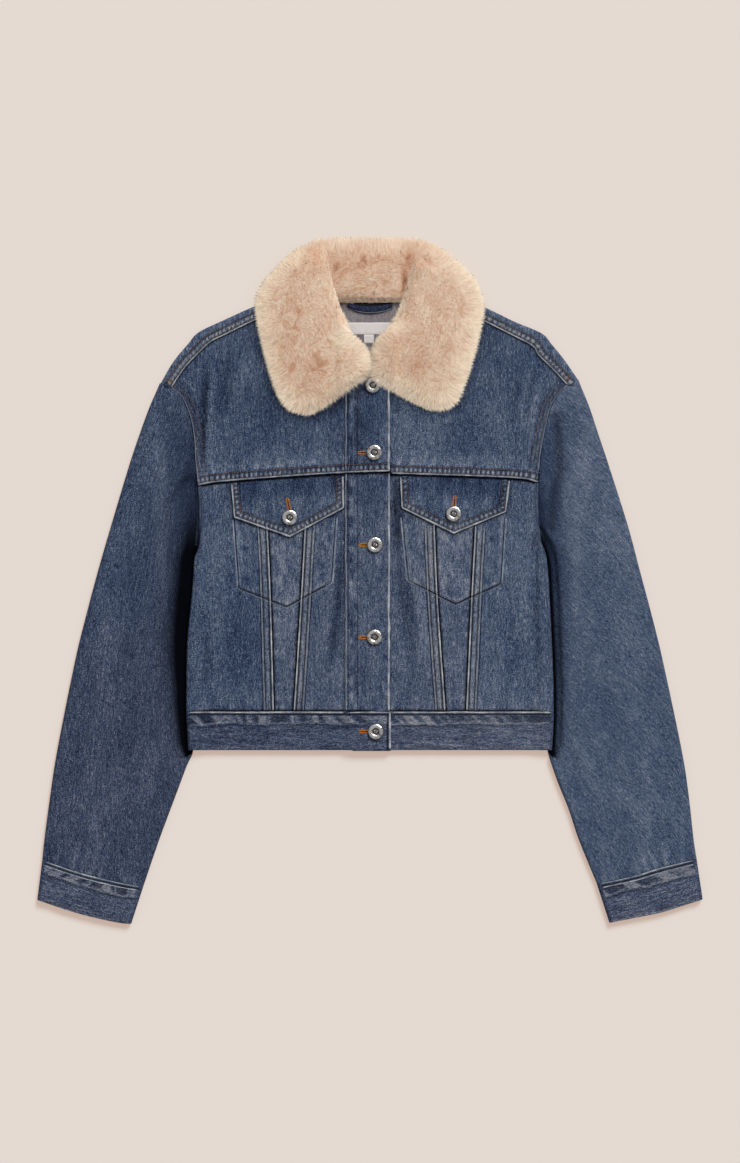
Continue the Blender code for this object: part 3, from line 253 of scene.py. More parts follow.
# Creases of the fronts and the yokes: line, half width, height (a trough is negative), painted shade
CREASES = [
    ([(-179, 240), (-182, 200), (-184.5, 155), (-185, 118)], 3.4, -1.2, 0.6),
    ([(-172, 245), (-175, 205), (-178, 150)], 4.0, 0.7, 0.0),
    ([(-150, 262), (-158, 215), (-160, 170)], 9.0, -0.5, 0.1),
    ([(184, 238), (175, 206), (172, 167)], 3.0, -0.4, 0.12),
    ([(176, 240), (168, 206), (165, 160)], 3.0, 0.5, 0.0),
    ([(166, 240), (160, 200), (158, 150)], 4.5, -0.5, 0.08),
    ([(190, 228), (181, 195), (178, 150)], 2.5, 0.6, 0.0),
    ([(-120, 240), (-112, 180), (-116, 130)], 10.0, -0.4, 0.0),
    ([(-62, 180), (-56, 150), (-60, 124)], 8.0, 0.4, 0.0),
    ([(108, 190), (112, 160), (106, 126)], 9.0, -0.4, 0.0),
    ([(-176, 80), (-170, 10), (-176, -80)], 11.0, 0.7, 0.0),
    ([(-150, -30), (-146, -80), (-150, -130)], 9.0, -0.5, 0.0),
    ([(-186, -20), (-180, -80), (-186, -134)], 6.0, -0.6, 0.15),
    ([(172, 90), (168, 10), (172, -90)], 10.0, 0.6, 0.0),
    ([(150, -20), (156, -80), (152, -132)], 9.0, -0.5, 0.0),
    ([(186, 20), (182, -50), (187, -120)], 6.0, -0.5, 0.1),
    ([(-56, 20), (-52, -50), (-58, -120)], 6.0, 0.4, 0.0),
    ([(56, 30), (60, -40), (54, -110)], 6.0, 0.4, 0.0),
    ([(-10, -80), (-4, -110), (-12, -136)], 7.0, -0.4, 0.0),
    ([(29, 124), (29.5, 80), (31, 20)], 5.5, -0.7, 0.62),
    ([(31, 50), (38, -20), (50, -100)], 7.0, -0.7, 0.28),
    ([(40, 60), (50, -10), (62, -90)], 5.0, 0.8, 0.0),
    ([(-38, 60), (-44, -10), (-56, -90)], 5.0, 0.8, 0.0),
    ([(-31, 50), (-36, -30), (-47, -110)], 5.0, -0.7, 0.35),
    ([(34, 225), (37, 180), (34, 135)], 6.0, 0.6, 0.0),
    ([(-24, 170), (-14, 150), (-2, 138)], 5.0, -0.8, 0.4),
    ([(-20, 196), (-8, 172), (0, 158)], 5.0, -0.6, 0.35),
]


def smooth(t):
    """Ease from 0 at t=0 to 1 at t=1."""
    t = np.clip(t, 0.0, 1.0)
    return t * t * (3.0 - 2.0 * t)


def bell(away, half):
    """1 where away is 0, fading to 0 on both sides."""
    return np.exp(-((away / half) ** 2))


def catmull_rom(points, index, t):
    """Rows on a smooth curve through points, at the fractions t of the steps that begin at index."""
    ends = np.vstack([2 * points[0] - points[1], points, 2 * points[-1] - points[-2]])
    a, b, c, d = (ends[index + k] for k in range(4))
    return 0.5 * (2 * b + (c - a) * t + (2 * a - 5 * b + 4 * c - d) * t**2 + (3 * b - a - 3 * c + d) * t**3)


def spline(points, count=60):
    """A smooth curve through points, sampled evenly along its chords."""
    p = np.array(points, float)
    steps = np.linalg.norm(np.diff(p, axis=0), axis=1)
    knots = np.concatenate([[0.0], np.cumsum(steps)])
    wanted = np.linspace(0.0, knots[-1], count)
    index = np.clip(np.searchsorted(knots, wanted, side="right") - 1, 0, len(steps) - 1)
    return catmull_rom(p, index, ((wanted - knots[index]) / steps[index])[:, None])


def at_y(points):
    """x as a function of y on a curve that runs along Y."""
    curve = spline(points)
    curve = curve[np.argsort(curve[:, 1])]
    return lambda y: np.interp(y, curve[:, 1], curve[:, 0])


def at_x(points):
    """y as a function of x on a curve that runs along X."""
    curve = spline(points)
    curve = curve[np.argsort(curve[:, 0])]
    return lambda x: np.interp(x, curve[:, 0], curve[:, 1])


def unit(vectors):
    """Vectors made one long."""
    return vectors / np.maximum(np.linalg.norm(vectors, axis=-1, keepdims=True), 1e-9)


def run_of(line):
    """How far along a line each of its points is."""
    return np.concatenate([[0.0], np.cumsum(np.linalg.norm(np.diff(line, axis=0), axis=1))])


def along(curve, t):
    """Points of a sampled curve at fractions t of its length."""
    curve = np.asarray(curve, float)
    lengths = run_of(curve)
    wanted = np.asarray(t) * lengths[-1]
    return np.stack([np.interp(wanted, lengths, curve[:, k]) for k in range(curve.shape[1])], axis=-1)


def patch(bottom, top, left, right):
    """A Coons patch between four curves: bottom and top run along u, left and right along v."""

    def place(u, v):
        u, v = np.broadcast_arrays(np.asarray(u, float), np.asarray(v, float))
        low, high = along(bottom, u), along(top, u)
        near, far = along(left, v), along(right, v)
        u, v = u[..., None], v[..., None]
        corners = (
            (1 - u) * (1 - v) * bottom[0] + u * (1 - v) * bottom[-1] + (1 - u) * v * top[0] + u * v * top[-1]
        )
        return (1 - v) * low + v * high + (1 - u) * near + u * far - corners

    return place


def from_line(line, x, y):
    """How far each place is from a line, positive to its left, and how far along the line that is."""
    line = np.asarray(line, float)
    spots = np.stack([np.ravel(x), np.ravel(y)], axis=1)
    steps = np.diff(line, axis=0)
    run = run_of(line)
    best = np.full(len(spots), np.inf)
    signed, where = np.zeros(len(spots)), np.zeros(len(spots))
    for k, step in enumerate(steps):
        length = math.hypot(*step)
        away = spots - line[k]
        t = np.clip(away @ step / length**2, 0.0, 1.0)
        distance = np.linalg.norm(away - t[:, None] * step, axis=1)
        nearer = distance < best
        turn = step[0] * away[:, 1] - step[1] * away[:, 0]
        best = np.where(nearer, distance, best)
        signed = np.where(nearer, np.where(turn < 0, -distance, distance), signed)
        where = np.where(nearer, run[k] + t * length, where)
    return signed.reshape(np.shape(x)), where.reshape(np.shape(x))


def wave(s, step, seed):
    """Smooth uneven values from -1 to 1 along s, with a new one every step."""
    values = np.random.default_rng(seed).uniform(-1, 1, 2048)
    s = np.asarray(s, float) / step + 1000
    k = np.floor(s).astype(int)
    t = smooth(s - k)
    return values[k % 2048] * (1 - t) + values[(k + 1) % 2048] * t


def rough(x, y, step_x, step_y, seed):
    """Smooth uneven values from -1 to 1 over a surface."""
    values = np.random.default_rng(seed).uniform(-1, 1, (256, 256))
    x, y = np.asarray(x, float) / step_x + 500, np.asarray(y, float) / step_y + 500
    i, j = np.floor(x).astype(int), np.floor(y).astype(int)
    s, t = smooth(x - i), smooth(y - j)
    i, j = i % 255, j % 255
    low = values[i, j] * (1 - s) + values[i + 1, j] * s
    high = values[i, j + 1] * (1 - s) + values[i + 1, j + 1] * s
    return low * (1 - t) + high * t


SIDES = ("left", "right")
SIGN = {"left": -1.0, "right": 1.0}
side_x = {side: at_y(ARMHOLE[side][6:] + SIDE[side][1:]) for side in SIDES}
tuck_x = {side: at_y(SLEEVE_INNER[side]) for side in SIDES}
trough_width = {
    side: (lambda y, rows=np.array(TROUGH[side][::-1], float): np.interp(y, rows[:, 0], rows[:, 1]))
    for side in SIDES
}


def fold_amount(side, y):
    """0 along the armhole, 1 where the body's side is folded round."""
    return smooth((SIDE[side][0][1] - y) / UNDERARM_TURN)


def lift(x, y):
    """Height of the body's underside: 0 on the floor, raised over the tucked sleeve margins."""
    raised = np.zeros(np.broadcast(x, y).shape)
    for side in SIDES:
        beyond = SIGN[side] * (x - tuck_x[side](y)) + LIFT_START
        below = SIDE[side][0][1] + LIFT_ABOVE_UNDERARM - y
        raised = raised + TUCK_LIFT * smooth(beyond / LIFT_SLOPE) * smooth(below / LIFT_ENDS)
    return raised


def near_edge(x, y):
    """1 at the body's folded sides, 0 well inside them."""
    amount = np.zeros(np.broadcast(x, y).shape)
    for side in SIDES:
        inside = SIGN[side] * (side_x[side](y) - x)
        amount = np.maximum(amount, (1 - smooth((inside - EDGE_FLAT) / EDGE_SLOPE)) * fold_amount(side, y))
    return amount


def front_top(x, y):
    """Outside of the fronts where nothing is raised."""
    space = BODY_SPACE - (2 * BODY_WALL + BODY_SPACE - EDGE_HEIGHT) * near_edge(x, y)
    return lift(x, y) + 2 * BODY_WALL + space


def lap_rise(x):
    """How far the left front rises over the right one."""
    step = smooth((x - LAP_RIDGE_X) / LAP_RIDGE_WIDTH)
    return (LAP_UNDER - FRONT_UNDER + PLACKET_WALL - BODY_WALL) * step


def crease_lines(x, y):
    """(height, painted shade) that the listed creases add."""
    height, dark = np.zeros(np.shape(x)), np.zeros(np.shape(x))
    for line, half, rise, shade in CREASES:
        curve = spline(line, 14)
        distance, where = from_line(curve, x, y)
        length = run_of(curve)[-1]
        wander = distance + 1.2 * wave(where, 14, 3 + len(line))
        ends = smooth(where / (0.3 * length)) * smooth((length - where) / (0.35 * length))
        section = ends * bell(wander, half)
        height = height + rise * section
        dark = np.maximum(dark, shade * section)
    return height, dark


def undulation(x, y):
    """Soft unevenness of cloth that lies on cloth."""
    upright = bell(x + 5, 60.0) * rough(x + 0.05 * y, y, 3.0, 26, 10)
    soft = 0.32 * rough(x, y, 46, 70, 11) + 0.22 * rough(x, y, 17, 38, 12) + 0.10 * rough(x, y, 7, 17, 13)
    return soft + 0.28 * upright


def button_mask(x, y):
    """0 under a button, where the cloth is held flat, and 1 away from it."""
    mask = np.ones(np.shape(x))
    for bx, by in [*FRONT_BUTTONS, *FLAP_BUTTONS.values()]:
        mask = mask * smooth((np.hypot(x - bx, y - by) - 5.0) / 9.0)
    return mask


def pocket_relief(x, y):
    """The pocket bags behind the fronts show as a slight step along their stitching."""
    height = np.zeros(np.shape(x))
    for side in SIDES:
        distance, _ = from_line(POCKET_BAG[side], x, y)
        below = smooth((100 - y) / 20.0)
        height = height + below * (0.28 * smooth((distance + 1.5) / 3.0) - 0.3 * bell(distance, 1.3))
        height = height + below * 0.22 * bell(distance + 4.0, 2.2) * (1 + wave(y + x, 6, 21))
    return height


def band_pucker(distance, where, width, seed):
    """(height, paleness, painted shade) of a double-stitched band, whose cloth bunches between the two rows.
    """
    turn = 2 * math.pi * (where / 5.3 + 0.35 * wave(where, 17, seed))
    ladder = 0.5 + 0.5 * np.tanh(2.2 * (np.sin(turn) - 0.15))
    strength = 0.7 + 0.3 * wave(where, 23, seed + 1)
    across = bell(distance - width / 2, (width * 0.24))
    rows = bell(distance - 2.4, 0.8) + bell(distance - width + 1.6, 0.8)
    inside = smooth(distance / 1.5) * smooth((width + 0.5 - distance) / 1.5)
    height = 0.5 * across * strength * ladder - 0.35 * rows
    pale = 0.85 * across * strength * ladder
    dark = 0.55 * rows + 0.42 * inside * (1 - ladder * across)
    return height, pale, np.clip(dark, 0, 0.7)


def beside_pucker(distance, where, reach, seed):
    """Small wrinkles that run away from a seam and fade with distance."""
    fade = np.exp(-np.abs(distance) / reach) * smooth(np.abs(distance) / 1.5)
    slant = where + 0.35 * np.abs(distance) * wave(where, 30, seed + 2)
    return 0.55 * fade * wave(slant, 4.6, seed)


# ---------------------------------------------------------------- meshes


def quads_of(count, width, ring=False, keep=None):
    """Faces of a grid of points, as rows of four point numbers."""
    i, j = np.meshgrid(np.arange(count - 1), np.arange(width if ring else width - 1), indexing="ij")
    i, j = i.ravel(), j.ravel()
    k = (j + 1) % width
    quads = np.stack([i * width + j, i * width + k, (i + 1) * width + k, (i + 1) * width + j], axis=1)
    if keep is not None:
        quads = quads[keep.ravel()[quads].all(axis=1)]
    return quads


def normals_of(points, ring=False):
    """Unit normals of a grid, by its rows and columns."""
    if ring:
        across = np.roll(points, -1, axis=1) - np.roll(points, 1, axis=1)
    else:
        across = np.gradient(points, axis=1)
    down = np.gradient(points, axis=0)
    return unit(np.cross(across, down))


def make_mesh(name, points, faces, looks, finish, sharp=50):
    """An object from points in millimetres. looks holds one value or vector for each point, by name."""
    used = np.unique(np.concatenate([np.ravel(group) for group in faces]))
    number = np.full(len(points), -1)
    number[used] = np.arange(len(used))
    mesh = bpy.data.meshes.new(name)
    rows = [row for group in faces for row in number[group].tolist()]
    mesh.from_pydata((points[used] * MM).tolist(), [], rows)
    for key, values in looks.items():
        values = np.asarray(values, np.float32)[used]
        kind, field = ("FLOAT_VECTOR", "vector") if values.ndim == 2 else ("FLOAT", "value")
        mesh.attributes.new(key, kind, "POINT").data.foreach_set(field, values.ravel())
    mesh.shade_smooth()
    mesh.set_sharp_from_angle(angle=math.radians(sharp))
    mesh.materials.append(finish)
    obj = bpy.data.objects.new(name, mesh)
    bpy.context.scene.collection.objects.link(obj)
    return obj


cloth = []  # the pieces that sewing lies on


def shell(name, outside, wall, finish, looks, ring=False, keep=None, flip=False):
    """Cloth with a wall: the outside grid, the inside one wall below it with half the rows, and a rim."""
    count, width = outside.shape[:2]
    normal = normals_of(outside, ring) * (-1.0 if flip else 1.0)
    inside = outside - normal * wall
    inside[..., 2] = np.maximum(inside[..., 2], 0.0)
    total = count * width
    quads = quads_of(count, width, ring, keep)
    kept = np.arange(count) if keep is not None else np.unique([*range(0, count, 2), count - 1])
    lower = quads_of(len(kept), width, ring, keep)
    lower = kept[lower // width] * width + lower % width + total
    if flip:
        quads = quads[:, ::-1]
    else:
        lower = lower[:, ::-1]
    row_below = kept[np.searchsorted(kept, np.arange(count), side="right") - 1]
    below = (total + row_below[:, None] * width + np.arange(width)).ravel()
    starts, ends = quads.ravel(), np.roll(quads, -1, axis=1).ravel()
    forward, backward = starts * total + ends, ends * total + starts
    open_edge = ~np.isin(forward, backward)
    a, b = starts[open_edge], ends[open_edge]
    rim = np.stack([b, a, below[a], below[b]], axis=1)
    pointed = below[a] == below[b]
    points = np.concatenate([outside.reshape(-1, 3), inside.reshape(-1, 3)])
    both = {key: np.concatenate([value.reshape(total, -1)] * 2).squeeze() for key, value in looks.items()}
    faces = [quads, lower, rim[~pointed], rim[pointed][:, :3]]
    piece = make_mesh(name, points, faces, both, finish)
    cloth.append(piece)
    return piece


def looks_of(grain_x, grain_y, seed, worn=0.0, painted_shade=0.0, wash=0.0, grey=0.2):
    """What the denim's finish reads: places on the grain, and how worn, how darkened by painted shade, how
    faded and how grey they are.
    """
    shape = np.shape(grain_x)
    grain = np.stack([grain_x, grain_y, np.full(shape, seed * 37.0)], axis=-1)
    full = {"worn": worn, "painted_shade": painted_shade, "wash": wash, "grey": grey}
    values = {key: np.broadcast_to(value, shape).astype(float) for key, value in full.items()}
    return {"grain": grain, **values}


def row_fractions(width, near, far, middle):
    """Fractions across a width: set distances from both edges, and even steps between them."""
    inner = np.linspace(near[-1], width - far[-1], middle + 2)[1:-1]
    return np.concatenate([near, inner, width - np.array(far)[::-1]]) / width


def panel_rows(place, levels, near, far, middle):
    """Rows of (x, y) at the levels v, with columns kept at set distances from the edges."""
    rows = []
    for v in levels:
        ends = place(np.linspace(0, 1, 5), np.full(5, v))
        u = row_fractions(run_of(ends)[-1], near, far, middle)
        rows.append(place(u, np.full(len(u), v)))
    return np.array(rows)


def stack(xy, z):
    """Points of (x, y) with their height."""
    return np.concatenate([xy, np.broadcast_to(z, xy.shape[:-1])[..., None]], axis=-1)


def area_of(points, ring=False):
    """Area of a grid of points, in square millimetres."""
    quads = points.reshape(-1, points.shape[-1])[quads_of(*points.shape[:2], ring)]
    diagonals = np.cross(quads[:, 2] - quads[:, 0], quads[:, 3] - quads[:, 1])
    return 0.5 * np.linalg.norm(diagonals, axis=1).sum()


LEAST_SHARE = 0.31  # of its width times its length that a cut covers


def cut_sheet(points, ring=False):
    """Measures a cloth piece's cut, its width, length and area, from its smooth form; the values are not
    kept.
    """
    closed = np.concatenate([points, points[:, :1]], axis=1) if ring else points
    width = np.linalg.norm(np.diff(closed, axis=1), axis=2).sum(axis=1).max()
    length = np.linalg.norm(np.diff(points, axis=0), axis=2).sum(axis=0).max()
    area = np.clip(area_of(points, ring), LEAST_SHARE * width * length, width * length)


def dress(piece, node):
    """The piece stands for a solid and moves with the jacket."""
    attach(piece, "root")
    if node:
        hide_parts(*([node] if isinstance(node, str) else node))


# ---------------------------------------------------------------- finishes


class Tree:
    """Adds nodes to a material: values are set on their sockets, and sockets are linked."""

    def __init__(self, name):
        self.material = bpy.data.materials.new(name)
        self.material.use_nodes = True
        self.nodes = self.material.node_tree.nodes
        self.links = self.material.node_tree.links
        self.shader = self.nodes["Principled BSDF"]

    def put(self, node, values):
        for key, value in values.items():
            socket = node.inputs[key]
            if isinstance(value, bpy.types.NodeSocket):
                self.links.new(value, socket)
            else:
                socket.default_value = value

    def add(self, kind, values=(), out=0, **settings):
        node = self.nodes.new(kind)
        for key, value in settings.items():
            setattr(node, key, value)
        self.put(node, dict(values))
        return node.outputs[out]

    def attribute(self, name, out):
        return self.add("ShaderNodeAttribute", attribute_name=name, out=out)

    def math(self, operation, a, b=0.0, clamp=False):
        return self.add("ShaderNodeMath", {0: a, 1: b}, operation=operation, use_clamp=clamp)

    def noise(self, vector, scale, detail=2.0, rough=0.55, twist=0.0):
        stretched = self.add("ShaderNodeMapping", {"Vector": vector, "Scale": scale}, vector_type="POINT")
        return self.add("ShaderNodeTexNoise", {
            "Vector": stretched, "Scale": 1.0, "Detail": detail, "Roughness": rough, "Distortion": twist,
        })

    def ramp(self, value, stops):
        node = self.nodes.new("ShaderNodeValToRGB")
        self.put(node, {"Fac": value})
        band = node.color_ramp
        while len(band.elements) < len(stops):
            band.elements.new(0.5)
        for element, (place, color) in zip(band.elements, stops):
            element.position = place
            element.color = (*linear(color), 1.0)
        return node.outputs[0]

    def mix(self, share, first, second, blend="MIX"):
        values = {0: share, 6: first, 7: (*second, 1.0)}
        return self.add("ShaderNodeMix", values, out=2, data_type="RGBA", blend_type=blend)

    def bump(self, height, distance, strength=1.0):
        return self.add("ShaderNodeBump", {"Height": height, "Distance": distance, "Strength": strength})


def linear(color):
    """Linear light from display values of 0 to 255."""
    share = np.array(color, float) / 255
    return tuple(np.where(share <= 0.04045, share / 12.92, ((share + 0.055) / 1.055) ** 2.4))


# Display colours
DENIM_STOPS = [
    (0.00, (14, 20, 42)),
    (0.28, (37, 51, 81)),
    (0.50, (65, 83, 113)),
    (0.72, (97, 115, 140)),
    (1.00, (154, 161, 172)),
]
FUR_STOPS = [(0.0, (134, 92, 68)), (0.25, (196, 153, 125)), (0.5, (212, 186, 163)), (0.75, (226, 210, 190)),
             (1.0, (240, 231, 214))]
REVERSE_STOPS = [(0.0, (92, 92, 98)), (0.5, (132, 130, 136)), (1.0, (172, 171, 176))]
PALE_STOPS = [(0.0, (38, 52, 84)), (0.35, (92, 108, 134)), (0.62, (148, 158, 172)), (1.0, (208, 211, 214))]
THREAD_STOPS = [(0.0, (58, 42, 36)), (0.5, (118, 86, 64)), (1.0, (168, 130, 96))]
DARK_THREAD_STOPS = [(0.0, (16, 14, 20)), (0.5, (40, 32, 34)), (1.0, (84, 64, 54))]
BUTTONHOLE_STOPS = [(0.0, (110, 62, 22)), (0.5, (178, 112, 48)), (1.0, (214, 150, 84))]
NAVY_STOPS = [(0.0, (14, 18, 36)), (0.5, (38, 46, 72)), (1.0, (92, 98, 122))]
SATIN_STOPS = [(0.0, (176, 174, 176)), (0.5, (206, 204, 205)), (1.0, (226, 225, 226))]
NICKEL_STOPS = [(0.3, (198, 200, 204)), (0.52, (226, 228, 232)), (0.60, (178, 168, 152)),
                (0.68, (104, 80, 56))]
# Colours of linear light
GREY_TINT = (1.20, 0.97, 0.86)
# Near black of the painted shade on denim: in creases, seams, troughs and under the collar and flaps
DENIM_PAINTED_SHADE_COLOR = (0.0018, 0.0022, 0.0045)
# Near black of the painted shade in the buttons' sunk places
NICKEL_PAINTED_SHADE_COLOR = (0.012, 0.010, 0.009)


def denim(name, stops=DENIM_STOPS, level=0.485, contrast=1.1):
    """Washed twill: streaks along the grain, slubs, flecks and slow fading, with worn places and painted
    shade.
    """
    tree = Tree(name)
    grain = tree.attribute("grain", 1)
    streak = tree.noise(grain, (0.50, 0.065, 1.0), 3.0, 0.6, 0.4)
    slub = tree.noise(grain, (0.40, 0.03, 1.0), 2.0, 0.5, 0.3)
    fleck = tree.noise(grain, (0.95, 0.20, 1.0), 2.0, 0.6, 0.25)
    grit = tree.noise(grain, (2.1, 0.8, 1.0), 1.0, 0.6)
    fading = tree.noise(grain, (0.020, 0.013, 1.0), 3.0, 0.5)
    squiggle = tree.noise(grain, (0.36, 0.085, 1.0), 2.0, 0.5, 1.6)
    fold = tree.math("ABSOLUTE", tree.math("SUBTRACT", squiggle, 0.5))
    crinkle = tree.math("SUBTRACT", 1.0, tree.math("MULTIPLY", fold, 11.0), clamp=True)
    total = level
    for source, share, middle in (
        (streak, 0.40, 0.5), (slub, 0.28, 0.5), (fleck, 0.95, 0.5), (grit, 1.7, 0.5), (fading, 0.14, 0.5),
        (crinkle, 0.17, 0.35),
    ):
        centred = tree.math("SUBTRACT", source, middle)
        total = tree.math("ADD", tree.math("MULTIPLY", centred, share * contrast), total)
    total = tree.math("ADD", total, tree.attribute("wash", 2))
    broken = tree.math("MULTIPLY", tree.attribute("worn", 2), tree.math("ADD", fleck, 0.45))
    total = tree.math("ADD", total, broken, clamp=True)
    color = tree.mix(tree.attribute("grey", 2), tree.ramp(total, stops), GREY_TINT, "MULTIPLY")
    # Painted shade: the colour is mixed towards near black where shade falls
    shade = tree.mix(tree.attribute("painted_shade", 2), color, DENIM_PAINTED_SHADE_COLOR)
    relief = tree.math("ADD", tree.math("MULTIPLY", streak, 0.5), tree.math("MULTIPLY", fleck, 0.5))
    relief = tree.math("ADD", relief, tree.math("MULTIPLY", crinkle, 0.5))
    tree.put(tree.shader, {"Base Color": shade, "Normal": tree.bump(relief, 0.0008), "Roughness": 0.9,
                           "Specular IOR Level": 0.03})
    return tree.material


def thread(name, stops):
    """Twisted yarn."""
    tree = Tree(name)
    place = tree.add("ShaderNodeTexCoord", out=3)
    tone = tree.noise(place, (900.0, 900.0, 900.0), 2.0)
    patches = tree.noise(place, (60.0, 60.0, 60.0), 2.0)
    mixed = tree.math("ADD", tree.math("MULTIPLY", tone, 0.5), tree.math("MULTIPLY", patches, 0.5))
    tree.put(tree.shader, {"Base Color": tree.ramp(mixed, stops), "Roughness": 0.7, "Specular IOR Level": 0.1,
                           "Normal": tree.bump(tone, 0.0002)})
    return tree.material


def woven(name, stops, roughness):
    """A fine plain weave, seen as a slight cross grain."""
    tree = Tree(name)
    place = tree.add("ShaderNodeTexCoord", out=3)
    lengthwise = tree.noise(place, (260.0, 1500.0, 900.0), 2.0)
    crosswise = tree.noise(place, (1500.0, 260.0, 900.0), 2.0)
    mixed = tree.math("MULTIPLY", tree.math("ADD", lengthwise, crosswise), 0.5)
    tree.put(tree.shader, {"Base Color": tree.ramp(mixed, stops), "Roughness": roughness,
                           "Normal": tree.bump(mixed, 0.0002)})
    return tree.material


def nickel():
    """Worn nickel plate: bright on its ring, with brown flecks, and darkened by painted shade in its sunk
    places.
    """
    tree = Tree("nickel_plate")
    place = tree.add("ShaderNodeTexCoord", out=3)
    worn = tree.noise(place, (340.0, 340.0, 340.0), 3.0, 0.65)
    flecks = tree.math("GREATER_THAN", worn, 0.58)
    sunk = tree.mix(tree.attribute("painted_shade", 2), tree.ramp(worn, NICKEL_STOPS), NICKEL_PAINTED_SHADE_COLOR)
    rough_part = tree.math("ADD", tree.math("MULTIPLY", flecks, 0.2), 0.24)
    tree.put(tree.shader, {"Base Color": sunk, "Metallic": 1.0, "Roughness": rough_part,
                           "Normal": tree.bump(worn, 0.0004)})
    return tree.material


def fur_finish():
    """Pile: peach at the roots and cream at the tips, uneven from lock to lock, with painted shade and a
    painted highlight carried in its tone.
    """
    tree = Tree("fur_pile")
    share = tree.attribute("along", 2)
    tone = tree.attribute("tone", 2)
    paler = tree.math("MULTIPLY", share, 0.34)
    level = tree.math("ADD", paler, tree.math("MULTIPLY", tone, 0.78), clamp=True)
    tree.put(tree.shader, {"Base Color": tree.ramp(level, FUR_STOPS), "Roughness": 0.85, "Sheen Weight": 0.08,
                           "Specular IOR Level": 0.08})
    return tree.material


FINISH = {
    "denim": denim("denim_twill"),
    "pale": denim("denim_worn_edge", PALE_STOPS, level=0.62, contrast=0.5),
    "reverse": denim("denim_reverse", REVERSE_STOPS, contrast=0.5),
    "topstitch": thread("topstitch_thread", THREAD_STOPS),
    "dark_stitch": thread("dark_thread", DARK_THREAD_STOPS),
    "buttonhole": thread("buttonhole_thread", BUTTONHOLE_STOPS),
    "navy": denim("navy_tape", NAVY_STOPS, contrast=0.9),
    "satin": woven("satin_tape", SATIN_STOPS, 0.5),
    "nickel": nickel(),
    "fur": fur_finish(),
}


# ---------------------------------------------------------------- sewing

stitch_rows = {"topstitch": [], "dark_stitch": [], "buttonhole": []}
back_rows = []
pale_edges = []


def leftward(line):
    """Directions to the left of a line, each as long as the line's step there."""
    step = np.gradient(line, axis=0)
    return np.stack([-step[:, 1], step[:, 0]], axis=1)


def offset(line, distance):
    """A line moved to its left, or to its right by a negative distance."""
    line = np.asarray(line, float)
    normal = leftward(line)
    return line + distance * normal / np.linalg.norm(normal, axis=1, keepdims=True)


def respaced(line, step):
    """A line with its points a step apart."""
    length = run_of(np.asarray(line, float))[-1]
    return along(line, np.linspace(0, 1, max(2, round(length / step) + 1)))


STITCH_PITCH, STITCH_SHARE, STITCH_HALF = 3.3, 0.78, 0.34


def stitches_along(line, pitch, share):
    """Start and end of each stitch of a row."""
    line = np.asarray(line, float)
    count = max(1, round(run_of(line)[-1] / pitch))
    return along(line, np.arange(count) / count), along(line, (np.arange(count) + share) / count)


def sew(line, pitch=STITCH_PITCH, share=STITCH_SHARE, half=STITCH_HALF, rise=0.2, kind="topstitch"):
    """A row of stitches along a line seen from above."""
    start, end = stitches_along(line, pitch, share)
    size = np.broadcast_to((half, rise), start.shape)
    stitch_rows[kind].append(np.concatenate([start, end, size], axis=1))


def edge_bead(line, half=0.75, rise=0.4, strength=1.0, seed=1):
    """A worn, rounded edge along a line seen from above."""
    pale_edges.append((respaced(line, 2.0), half, rise, strength, seed))


def cloth_top():
    """A function that gives the height of the cloth's top at places seen from above."""
    corners, faces, total = [], [], 0
    for piece in cloth:
        mesh = piece.data
        spots = np.empty(len(mesh.vertices) * 3, np.float32)
        mesh.vertices.foreach_get("co", spots)
        corners += (spots.reshape(-1, 3) / MM).tolist()
        faces += [[total + corner for corner in face.vertices] for face in mesh.polygons]
        total += len(mesh.vertices)
    tree = BVHTree.FromPolygons(corners, faces)

    def top(spots):
        down = (0.0, 0.0, -1.0)
        hits = [tree.ray_cast((x, y, 40.0), down)[0] for x, y in spots.tolist()]
        return np.array([FRONT_TOP if hit is None else hit.z for hit in hits])

    return top


def settled(rows, top):
    """Stitches seen from above, laid on the cloth."""
    rows = np.concatenate(rows)
    low, high = (top(spots)[:, None] + rows[:, 5:6] for spots in (rows[:, 0:2], rows[:, 2:4]))
    return np.concatenate([rows[:, 0:2], low, rows[:, 2:4], high, rows[:, 4:5]], axis=1)


def stitch_mesh(name, rows, finish):
    """All the stitches of one thread as a mesh: each is a short four-sided spindle."""
    start, end, half = rows[:, 0:3], rows[:, 3:6], rows[:, 6:7]
    axis = unit(end - start)
    side = unit(np.cross(axis, (0.0, 0.0, 1.0)))
    up = np.cross(side, axis)
    dips = -0.35 * up
    rings = []
    for share in (0.18, 0.82):
        middle = start + (end - start) * share
        rings.append([middle + half * d for d in (side, 0.8 * up, -side, -0.8 * up)])
    points = np.stack([start + dips, *rings[0], *rings[1], end + dips], axis=1)
    triangles, quads = [], []
    for k in range(4):
        n = (k + 1) % 4
        triangles += [(0, 1 + n, 1 + k), (9, 5 + k, 5 + n)]
        quads.append((1 + k, 1 + n, 5 + n, 5 + k))
    first = np.arange(len(rows))[:, None, None] * 10
    faces = [(first + np.array(group)).reshape(-1, len(group[0])) for group in (triangles, quads)]
    return make_mesh(name, points.reshape(-1, 3), faces, {}, finish, sharp=180)


